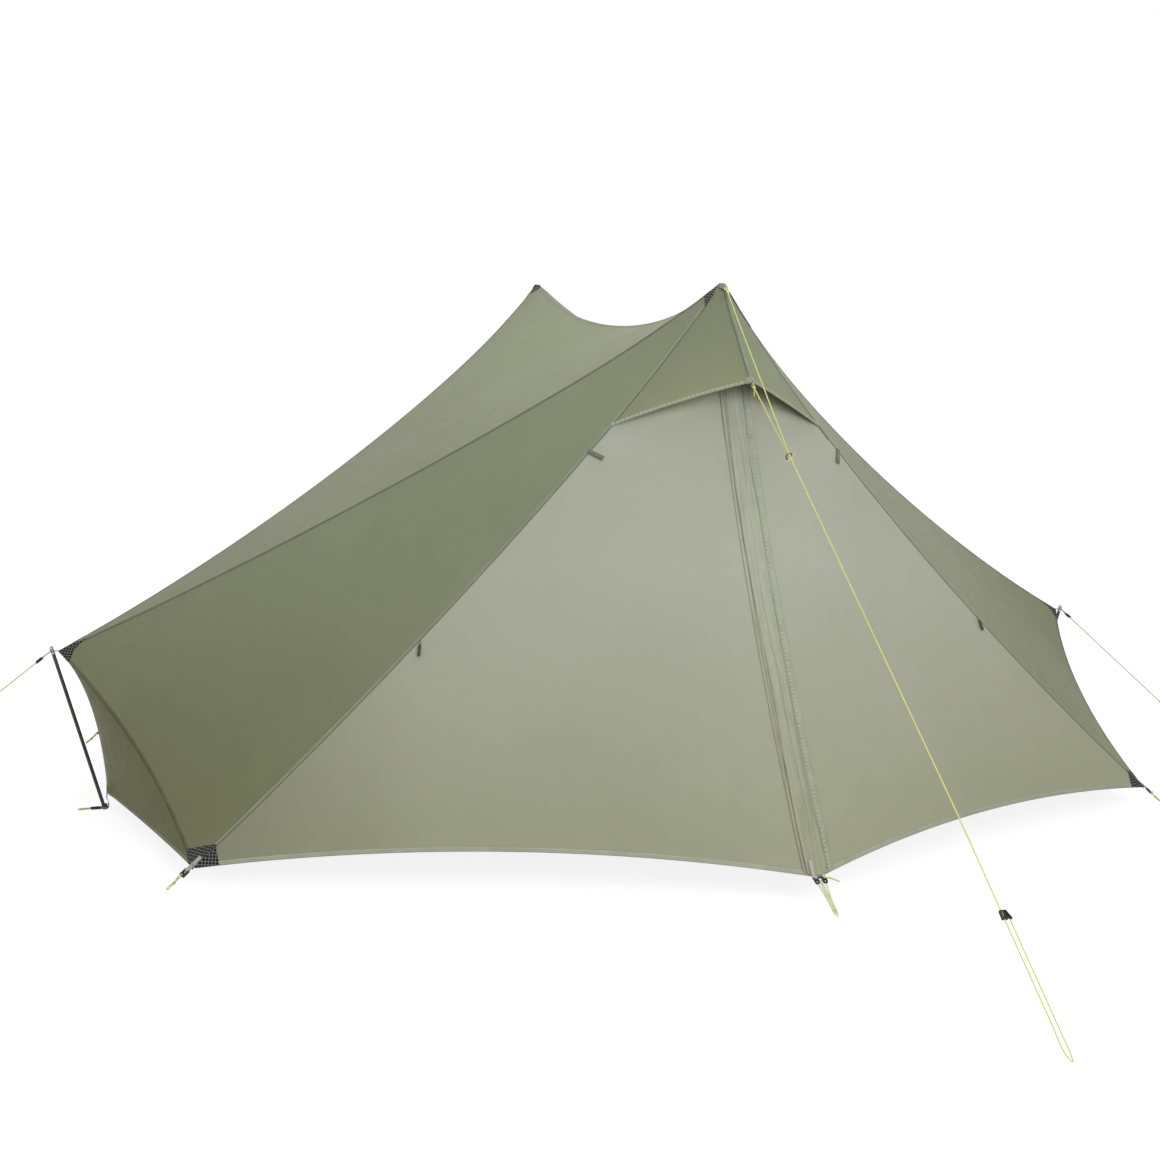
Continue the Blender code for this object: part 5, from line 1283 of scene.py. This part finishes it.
def build_door_foot(panels, end):
    """Tab, stud, hooks and peg cord at the foot of the door."""
    word = END[end]
    out = -Y * end
    hem = np.array((0.0, -DOOR_FOOT_Y * end, DOOR_FOOT_Z))
    peg = hem + out * DOOR_PEG_OUT
    peg[2] = PEG_HEIGHT
    down = unit(peg - hem)
    up = upward(np.cross(X, down))
    ways = (X, down, up)
    top = hem + down * (FLAT_GAP + 0.0016)
    hooks, tape, ends = Bits(tube([top - X * 0.0145, top, top + X * 0.0145], 0.0016, 8)), Bits(), []
    for first in (top - X * 0.009, top + X * 0.009):
        route = placed(first, ways, (-3.4, 0, 0.6), (-4, 6, 1.2), (-2.6, 11.8, 0.4), (0, 13.4, 0),
                       (2.8, 11.6, 0.2), (4, 6, -0.4), (3.4, 0, -0.4))
        hooks.add(*strand(route, 0.0021, sides=8))
        hooks.add(*slab(first + down * 0.0015, first + down * 0.0068, X, 0.0078, 0.0034, 0.002))
        tape.add(*ribbon(placed(first, (down, up), (-15, 3), (-6, 3), (0, 2.2), (2.4, 0), (0, -2.2),
                                (-6, -2.8)), X, 0.0080))
        ends.append(first + down * (0.014 + CORD_END))
    hooks.make(f"{word}_peg_hooks", "black", replaced=f"{word}_door_hooks")
    tape.make(f"{word}_foot_tab", "webbing")
    left, right = (rim_of(panels["door"], "ac").mirrored(side, end) for side in (1, -1))
    climb, into, normal = unit(left.line[-4] - left.line[-1]), left.into[-3], left.normal[-3]
    route = placed(left.line[-1], (into, climb, normal), (11.5, -1, 6.2), (11.5, 9, 6.6), (11.5, 22, 6.4),
                   (11.5, 34, 6))
    Bits(ribbon(route, np.cross(climb, normal), 0.0080)).make(f"{word}_foot_webbing", "webbing",
                                                              f"{word}_left_door")
    spot = right.line[-1] + unit(right.line[-4] - right.line[-1]) * 0.017 + right.into[-3] * 0.020
    stud = [spot + right.normal[-3] * high for high in (0.0020, 0.0034, 0.0046)]
    Bits(tube(stud, 0.0024, 12)).make(f"{word}_foot_stud", "black", f"{word}_right_door")
    Bits(ribbon([*placed(top, (down, up), (4, -0.5), (30, -0.4)), *placed(peg, (down, up), (-6, 0.2))],
                X, 0.0075)).make(f"{word}_foot_ribbon", "ribbon")
    bend = peg - down * 0.007
    route = [ends[0] - down * 0.003, (ends[0] + peg) / 2, bend - X * 0.0035, peg, bend + X * 0.0035,
             (ends[1] + peg) / 2, ends[1] - down * 0.003]
    tie = knot_at(bend - down * 0.008, X, X * 0.004 - down * 0.012).make(f"{word}_foot_knot", "cord")
    tail = Bits(strand(placed(ends[1], ways, (0, -12, 4), (12, -10, 3), (30, -4, -2)), CORD_RADIUS * 1.4))
    tail = tail.make(f"{word}_foot_tail", "cord")
    add_cord(f"{word}_foot_line", route, 0.004, f"{word}_door_cord")


def build_tie_backs(panels, side, end):
    """Ribbon loop high on the door's outer seam, and toggle on an elastic loop lower down."""
    rim = rim_of(panels["door"], "ab").mirrored(side, end)
    word = f"{END[end]}_{SIDE[side]}"
    high, low = (int(np.argmin(np.abs(rim.line[:, 2] - height))) for height in (0.852, 0.479))
    place, into, normal = rim.line[high], rim.into[high], rim.normal[high]
    along = unit(rim.line[high + 1] - rim.line[high - 1])
    way = unit(into + along * (0.45 if side * end < 0 else -0.20))
    Bits(ribbon(placed(place, (way, normal), (-4, 2.2), (10, 3.2), (26, 5), (32.5, 4), (27, 2.4),
                       (12, 1.6), (-2, 1.3)), unit(np.cross(way, normal)), 0.0095)
         ).make(f"{word}_tie_loop", "elastic")
    place, into, normal = rim.line[low], rim.into[low], rim.normal[low]
    hang = unit(normal * (normal[2] + 0.02) - Z)
    Bits(strand(placed(place, (hang, normal, into), (0, 1.5, 0), (6, 4, 2), (16, 4.5, 1)), 0.0009)
         ).make(f"{word}_tie_elastic", "elastic")
    barrel = placed(place, (hang, normal), (14, 5), (20, 5), (28, 5), (34, 5))
    bits = Bits(tube(barrel, 0.0030, 12))
    for share in (0.15, 0.85):
        bits.add(*hoop(barrel[0] + (barrel[-1] - barrel[0]) * share, unit(np.cross(hang, into)),
                       unit(np.cross(hang, np.cross(hang, into))), 0.0028, 0.0007, 16, 6))
    bits.make(f"{word}_toggle", "toggle")


def build_visor(seams, end):
    """The hood over a door: two slopes that meet on a raised middle seam, with its taped hem."""
    word, apex, middle = END[end], CORNERS["PF"], visor_middle(1)
    rows, columns = 26, 22
    edge = seam_at(seams, ("PF", "FL"), np.linspace(0.0, VISOR_SHARE, rows + 1))[:, None]
    share = np.linspace(0.0, 1.0, rows + 1)[:, None, None]
    part = np.linspace(0.0, 1.0, columns + 1)[None, :, None]
    lift = VISOR_HEM_RISE * share * 4 * part * (1 - part)
    grid = edge + (apex + (middle - apex) * share - edge) * part + unit(apex - middle) * lift
    grid = over_pole(grid, 0.0004)
    shares = np.concatenate([1 - share + 0 * part, share * (1 - part), share * part], axis=2)
    copies = [(mirrored(grid.reshape(-1, 3), side, end), grid_faces(rows, columns), shares.reshape(-1, 3))
              for side in (1, -1)]
    add_sheet(f"{word}_hood", gather(copies), "fly", f"{word}_visor")
    hem = rim_through(grid[-1], grid[-2])
    rib = rim_through(grid[1:, -1], grid[1:, -2])
    for side in (1, -1):
        add_hem(f"{word}_{SIDE[side]}_visor_hem", hem.mirrored(side, end).part(0.05, columns - 0.02, 44),
                0.0068, "zigzag", high=0.0009)
    add_seam(f"{word}_visor_rib", rib.mirrored(1, end), rib.mirrored(-1, end), (0.0042, 0.0068), "rib",
             0.0011)
    tab = Bits()
    for side in (1, -1):
        rim = hem.mirrored(side, end)
        wide = unit(rim.line[-1] - rim.line[-2])
        route = placed(rim.line[-1] - wide * 0.0065, (rim.into[-2], rim.normal[-2]), (12.5, 1.3), (6, 1.5),
                       (0, 1.5), (-1.8, -0.2), (0, -2.6), (9, -2.4))
        tab.add(*ribbon(route, wide, 0.0130, 0.0008, 0.001))
    tab.make(f"{word}_visor_tab", "tab")


def rise(value, low, high):
    share = np.clip((value - low) / (high - low), 0.0, 1.0)
    return share * share * (3 - 2 * share)


def ridge(value, middle, wide):
    return np.exp(-((value - middle) / wide) ** 2)


def flap_height(q, s):
    """Height of the storm flap over the door, q across it from the zip and s down it, in metres."""
    body = rise(q, -0.030, -0.022) * (1 - 0.55 * rise(q, 0.022, 0.0265))
    swing = 0.5 * np.sin(11.0 * s + 0.6) + 0.3 * np.sin(27.0 * s)
    low = rise(s, 0.30, 0.50)
    folds = 0.0017 * np.sin(q / 0.0050 + 2.4 * swing + 6.0 * s) * (0.25 + 0.75 * low * np.sin(4.6 * s) ** 2)
    folds += 0.0014 * np.sin(q / 0.0110 - 2.2 * swing + 0.8)
    high = 0.0009 + body * (0.0042 + folds)
    for row in (0.0040, 0.0095, 0.0150, 0.0205):
        high = high - 0.0013 * body * ridge(q, row, 0.0011) * (1 - 0.8 * rise(s, 0.50, 0.75))
    high = high - 0.0030 * body * ridge(q, -0.0215 + 0.0025 * np.sin(9.0 * s), 0.0016)
    return high + 0.0012 * ridge(q, -0.0280, 0.0013)


def strip_height(q, s):
    """Height of the bumpy stitched strip beside the flap."""
    puckers = np.sin(s / 0.0014 + 1.7 * np.sin(s / 0.013)) * (0.6 + 0.4 * np.sin(s / 0.041))
    body = rise(q, 0.0262, 0.0285) * (1 - 0.6 * rise(q, 0.0450, 0.0475))
    wave = 0.0008 * puckers * (ridge(q, 0.0330, 0.0035) - 0.7 * ridge(q, 0.0420, 0.0030))
    return 0.0006 + body * (0.0018 + wave) - 0.0008 * ridge(q, 0.0375, 0.0009)


def build_flap(panels, end):
    """Storm flap over the zip, on the left leaf, and the stitched strip beside it, on the right one."""
    word, door = END[end], panels["door"]
    rim = rim_of(door, "ac")
    run = np.concatenate([[0.0], np.cumsum(np.linalg.norm(np.diff(rim.line, axis=0), axis=1))])
    for label, body, low, high, columns, height, base, step in (
            ("flap", f"{word}_left_door", -0.030, 0.0262, 46, flap_height, 0.0003, 0.004),
            ("strip", f"{word}_right_door", 0.0268, 0.0475, 16, strip_height, 0.0002, 0.002)):
        ways = np.linspace(low, high, columns + 1)
        both = np.concatenate([ways, ways[::-1]])
        turn = np.where(both < 0, 1.0, -1.0)
        for part, carrier, first, last, under, rest in (
                ("top", "tent", 4.0, FINE_LEAF - 0.004, -0.0012, f"{word}_door_top"),
                ("leaf", body, FINE_LEAF + 0.004, FINE - 0.12, base, f"{body}_cloth")):
            length = np.interp(last, range(len(run)), run) - np.interp(first, range(len(run)), run)
            count = int(length / step)
            edge = rim.part(first, last, count)
            sections = []
            for row, normal in zip(np.linspace(first, last, count + 1), edge.normal):
                place = np.array([door.inside(row, abs(way)) for way in ways])
                over = place + normal * height(ways, np.interp(row, range(len(run)), run))[:, None]
                loop = np.concatenate([over, (place + normal * under)[::-1]])
                loop[:, 0] *= turn
                sections.append(loop * (1.0, end, 1.0))
            thing = add_loft(f"{word}_{label}_{part}", np.swapaxes(sections, 0, 1), both, label,
                             carrier, 60)
            if label == "flap" and part == "leaf":
                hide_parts(f"{word}_storm_flap")


def build_zip(panels):
    """Zip tapes with their coils under the leaves' edges."""
    rim = rim_of(panels["door"], "ac").part(FINE_LEAF + 0.05, FINE - 0.2, 220)
    rows = ((0.0003, 0.0009), (0.0100, 0.0009), (0.0100, 0.0013), (0.0030, 0.0013), (0.0026, 0.0015),
            (0.0003, 0.0015))
    for side, end in ((side, end) for end in (1, -1) for side in (1, -1)):
        edge = rim.mirrored(side, end)
        loop = [edge.line + edge.into * across - edge.normal * down for across, down in rows]
        name = f"{END[end]}_{SIDE[side]}"
        add_loft(f"{name}_zip_tape", loop, [0.0, 0.01, 0.01, 0.003, 0.0026, 0.0], "zip", f"{name}_door")


# Main guys

def tied(name, place, way, across, eye, tail):
    """A cord's knot round what holds it: an eye at some distance, then the knot with its tail."""
    bits = knot_at(place + way * 0.010, way, tail)
    bits.add(*hoop(place + way * eye, way, across, 0.0042, THIN_CORD, 18, 7))
    return bits.make(name, "cord")


def add_main_guy(seams, end):
    """Main guy with its knot, ring and tensioner, and the cord from the visor's edge to the ring."""
    word = END[end]
    apex, rays = peak_rays(seams, end)
    normals = np.array([upward(unit(np.cross(a, b))) for a, b in zip(rays[2:4], rays[3:5])])
    mitre = np.linalg.pinv(normals, rcond=0.08) @ np.ones(2)
    held = apex + rays[3] * CAP_RIM
    start = held + mitre * (FLAT_GAP + PATCH + FIT_GAP + CORD_RADIUS)
    foot = np.array((0.0, -GUY_FOOT_Y * end, PEG_HEIGHT))
    down = unit(foot - start)
    start = start + over_pole(held) - held
    middle, back = foot - down * TENSIONER_UP, foot + X * RETURN_SPACING
    fall = unit(middle - down * LINE_STRAIGHT - start)
    edge = visor_middle(end)
    tab = edge - Y * VISOR_TAB_OUT * end - Z * VISOR_TAB_DROP
    reach = abs(edge[1]) + RING_OUT - abs(start[1])
    at_ring = start + fall * reach / abs(fall[1]) + Y * RING_PULL[0] * end + Z * RING_PULL[1]
    above = middle - down * TENSIONER_REACH
    below = middle + down * (TENSIONER_LENGTH / 2 + CORD_END) + X * RETURN_SPACING
    first, last = unit(at_ring - start), unit(above - at_ring)
    route = [start, start + first * LINE_STRAIGHT, at_ring - first * RING_BEND, at_ring + last * RING_BEND,
             above, middle - down * LINE_STRAIGHT, middle + down * LINE_STRAIGHT,
             foot - down * LINE_STRAIGHT, foot - down * LINE_BEND,
             (foot + back) / 2 - Y * PEG_LOOP * end, back - down * LINE_BEND, back - down * LINE_STRAIGHT,
             below + down * LINE_STRAIGHT, below]
    up = upward(unit(np.cross(X, down)))
    knot = tied(f"{word}_peak_knot", start, down, X, 0.001, down * 0.015 - X * 0.004 * end + up * 0.004)
    under = square_to(-Z, down)
    near = at_ring + under * (2 * CORD_RADIUS + CORD_END)
    flat = unit(np.cross(down, unit(up * 0.6 - X * 0.8)))
    hold = Bits(hoop(at_ring + under * 0.0025, down, flat, 0.0068, 0.0013, 28, 9))
    hold = hold.make(f"{word}_ring", "black")
    ties = knot_at(at_ring + down * 0.0095, down, X * 0.006 + up * 0.013 - down * 0.006,
                   down * 0.006 - X * 0.010).make(f"{word}_ring_knot", "cord")
    add_cord(f"{word}_guy", route, 0.004, f"{word}_guy_line")
    way = unit(near - tab)
    tie = tied(f"{word}_visor_knot", tab, way, up, 0.002, way * 0.010 - X * 0.003 - Z * 0.010)
    add_cord(f"{word}_visor_line", [tab + way * 0.004, (tab + near) / 2, near], 0.02,
             f"{word}_visor_cord")
    build_tensioner(end, middle, down, up)


def build_tensioner(end, middle, down, up):
    """Guy tensioner: rails that spread from its narrow top, with bars over and under the strands."""
    bits = Bits()
    reach = down * TENSIONER_LENGTH / 2
    for high, low in ((-0.0026, -0.0032), (0.0022, 0.0050), (0.0062, 0.0132)):
        bits.add(*slab(middle - reach + X * high, middle + reach + X * low, up, 0.0068, 0.0030, 0.0026))
    for share, turn, wide in ((-0.80, 1, 0.0060), (0.0, -1, 0.0095), (0.45, 1, 0.0110), (0.85, 1, 0.0125)):
        at = middle + reach * share + up * turn * 0.0025
        bits.add(*tube([at - X * 0.0025, at + X * wide / 2, at + X * wide], 0.0013, 8))
    bits.make(f"{END[end]}_line_tensioner", "black", f"{END[end]}_tensioner", f"{END[end]}_guy_tensioner")


# The inner tent

def build_floor():
    """Bathtub floor: one sheet laid flat, its walls folded up and pulled to the corners."""
    count = TRAY_COUNT
    turn = np.linspace(0.0, 2 * pi, count, endpoint=False) + pi / count
    corner = np.sqrt(np.abs(np.cos(turn) * np.sin(turn)) * 2)
    points, faces = [np.array([(0.0, 0.0, TRAY_LOW)])], []
    for share in np.arange(1, TRAY_ROWS + 1) / TRAY_ROWS:
        out = min(share / TRAY_WALL_FROM, 1.0)
        height = max((share - TRAY_WALL_FROM) / (1 - TRAY_WALL_FROM), 0.0)
        x, y = (rounded(wave, TRAY_SQUARENESS) * (far - TRAY_LEAN * (1 - height)) * out
                for wave, far in ((np.cos(turn), INNER_X), (np.sin(turn), INNER_Y)))
        z = TRAY_LOW + TRAY_WALL * height ** 1.15 - TRAY_SAG * height ** 2 * (1 - corner)
        z = z + TRAY_CRINKLE * np.sin(x * 21 + 3 * np.sin(y * 17)) * np.sin(y * 26) \
            * (1 - height) * min(1.0, 4 * (1 - out))
        points.append(np.stack([x, y, np.maximum(z, TRAY_LOWEST)], axis=1))
    for k in range(count):
        n = (k + 1) % count
        faces.append((0, 1 + k, 1 + n))
        for start in range(1, 1 + (TRAY_ROWS - 1) * count, count):
            a, b = start + k, start + n
            faces += [(a, a + count, b + count), (a, b + count, b)]
    points, faces = np.concatenate(points), np.array(faces)
    made, shell = thick_sheet(points, faces[:, ::-1], 0.0007, -0.0004)
    thing = add_object("floor_tray", made, shell, "floor", uv=twice(points[:, :2]), smooth=50)
    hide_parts("inner_floor")


def build_inner(seams):
    """Mesh body of the inner tent, hung from the ridge, with bound seams and a doorway each side."""
    peak = PEAK_HEIGHT - INNER_PEAK_DOWN
    corners = {key: np.array(place) for key, place in (
        ("PF", (0.0, INNER_PEAK_IN - PEAK_Y, peak)), ("R", (0.0, 0.0, peak - INNER_SAG)),
        ("LT", (INNER_TIP_IN - TIP_X, 0.0, TIP_Z - INNER_TIP_DOWN)),
        ("FL", (-INNER_X, -INNER_Y, INNER_RIM)), ("ML", (-INNER_X, 0.0, INNER_RIM)),
        ("F", (0.0, -INNER_Y, INNER_RIM)))}
    tension = dict.fromkeys(SEAM_TENSION, INNER_TENSION)
    tension["FL", "F"] = tension["ML", "FL"] = INNER_RIM_TENSION
    inner = find_form(corners, [k / 6 for k in range(7)], dict.fromkeys(PANELS, 1.0), tension)
    top, beside = DOORWAY_ROW, DOORWAY_STEP
    pieces, trims = [], Bits()
    for name, mirror in (("roof", "bc"), ("side", None), ("end", "ab"), ("door", None)):
        panel = Panel(inner, name, np.linspace(0.0, 1.0, INNER_ROWS + 1), mirror)
        panel.place[panel.place[:, 2] < INNER_RIM + 0.004, 2] = INNER_RIM
        faces, lines = panel.faces, []
        if name == "side":
            lines = [(rim_of(panel, which).line, 0.0016) for which in ("ab", "bc", "ac")]
        if name == "door":
            row, step = (panel.keys[faces][..., axis].min(axis=1) for axis in (0, 1))
            faces = faces[(row < top) | (step < beside)]
            over = [panel.at(top, step) for step in range(top, beside - 1, -1)]
            lines = [(over + [panel.at(row, beside) for row in range(top + 1, INNER_ROWS + 1)], 0.0020)]
        for side, end in QUARTERS:
            pieces.append((mirrored(panel.place, side, end), faces, panel.place))
            for line, radius in lines:
                trims.add(*tube(mirrored(line, side, end), radius, 6))
    points, faces, _ = used_only(*gather(pieces))
    made, shell = thick_sheet(points, faces, 0.0006)
    body = add_object("inner_walls", made, shell, "mesh", uv=twice(points[:, :2]))
    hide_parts("inner_mesh")
    trims.make("inner_bindings", "binding")
    fly = seam_at(seams, ("PF", "R"), np.linspace(0.0, 1.0, 200))
    for end in (1, -1):
        at = mirrored(corners["PF"], 1, end)
        high = fly[np.argmin(np.abs(fly[:, 1] + abs(at[1])))][2] - 0.0035 - at[2]
        route = [at + Z * lift for lift in (-0.008, 0.0, high / 2, high)]
        Bits(ribbon(route, Y, 0.008, step=0.004)).make(f"{END[end]}_hang_tape", "webbing")


# The scene round the tent

def add_camera():
    data = bpy.data.cameras.new("camera")
    data.lens, data.sensor_width = CAMERA_LENS, 36.0
    data.clip_start, data.clip_end = 0.1, 60.0
    level = cos(CAMERA_PITCH)
    look = (sin(CAMERA_YAW) * level, cos(CAMERA_YAW) * level, -sin(CAMERA_PITCH))
    bpy.context.scene.camera = link("camera", data, CAMERA_PLACE, look, CAMERA_ROLL)


def add_stage():
    """Pale floor that takes shadows."""
    size = 30.0
    floor = bpy.data.meshes.new("floor")
    floor.from_pydata([(-size, -size, 0), (size, -size, 0), (size, size, 0), (-size, size, 0)], [],
                      [(0, 1, 2, 3)])
    paint = bpy.data.materials.new("studio_floor")
    paint.use_nodes = True
    nodes = Nodes(paint.node_tree, clear=True)
    plain = nodes.give("BsdfDiffuse", ("Color", (STAGE_GREY,) * 3))
    seen = nodes.rays("Is Camera Ray", "Is Glossy Ray", "Is Transmission Ray")
    glow = nodes.give("Emission", ("Strength", seen * STAGE_GLOW))
    nodes.node("OutputMaterial", ("Surface", nodes.give("AddShader", (0, plain), (1, glow))))
    floor.materials.append(paint)
    link("floor", floor, (0.0, 0.0, -0.001))


def add_lights():
    """Sky that is seen white and lights the tent more softly, and round lamps."""
    world = bpy.data.worlds.new("studio")
    bpy.context.scene.world = world
    world.use_nodes = True
    nodes = Nodes(world.node_tree, clear=True)
    soft, white = (nodes.give("Background", ("Color", WHITE), ("Strength", power))
                   for power in (SKY_LIGHT, SKY_SEEN))
    seen = nodes.rays("Is Camera Ray", "Is Transmission Ray")
    nodes.node("OutputWorld", ("Surface", nodes.give("MixShader", (0, seen), (1, soft), (2, white))))
    for name, place, size, power in LAMPS:
        lamp = bpy.data.lights.new(name, "AREA")
        lamp.shape, lamp.size, lamp.energy = "DISK", size, power
        link(name, lamp, place, LAMPS_AIM - place)


# The tent

def build_panels(panels):
    """Roof, end and side panels of the fly, one sheet each."""
    for side in (1, -1):
        word = SIDE[side]
        for name, look in (("roof", "fly"), ("end", "end")):
            add_sheet(f"{word}_{name}_cloth", panels[name].copies([(side, 1), (side, -1)]), look,
                      f"{word}_{name}_panel")
        for end in (1, -1):
            add_sheet(f"{END[end]}_{word}_side_cloth", panels["side"].copies([(side, end)]), "fly",
                      f"{END[end]}_{word}_side_panel")


def build_doors(panels):
    """The fixed cloth over each door and its two leaves."""
    door = panels["door"]
    low = (door.keys[:, 0][door.faces] >= FINE_LEAF).all(axis=1)
    for end in (1, -1):
        word = END[end]
        add_sheet(f"{word}_door_top", used_only(*door.copies([(1, end), (-1, end)], ~low)), "door",
                  f"{word}_door_head", top=0.0016, fan=False)
        for side in (1, -1):
            name = f"{word}_{SIDE[side]}"
            add_sheet(f"{name}_door_cloth", used_only(*door.copies([(side, end)], low)), "door",
                      f"{name}_door_leaf", f"{name}_door")


def build_tent():
    seams = find_form(CORNERS, PEAK_ROWS, PANEL_STRESS, SEAM_TENSION)
    for end in (1, -1):
        add_main_guy(seams, end)
        for side in (1, -1):
            build_corner(seams, side, end)
    for side in (1, -1):
        build_end(side)
    panels = {name: Panel(seams, name, rows, mirror) for name, rows, mirror in (
        ("roof", FINE_ROWS, "bc"), ("side", FINE_ROWS, None),
        ("end", np.linspace(0.0, 1.0, FINE + 1), "ab"), ("door", FINE_ROWS, None))}
    for build in (build_panels, build_doors, build_seams, build_patches, build_peak_edging, build_zip):
        build(panels)
    for end in (1, -1):
        build_visor(seams, end)
        build_flap(panels, end)
        build_cap(seams, end)
        build_door_foot(panels, end)
        for side in (1, -1):
            build_tie_backs(panels, side, end)
    build_floor()
    build_inner(seams)
    dress_struts()
    plain = {}
    for material, slot in LOOKS.values():
        plain.setdefault(slot, material)
    slots = {row["node"]: row["material_slot"] for row in frame["record"]["subparts"]}
    for name, node in frame["nodes"].items():
        node.data.materials.clear()
        node.data.materials.append(plain[slots[name]])


add_camera()
build_tent()
add_stage()
add_lights()
bpy.context.scene.view_settings.view_transform = "Standard"
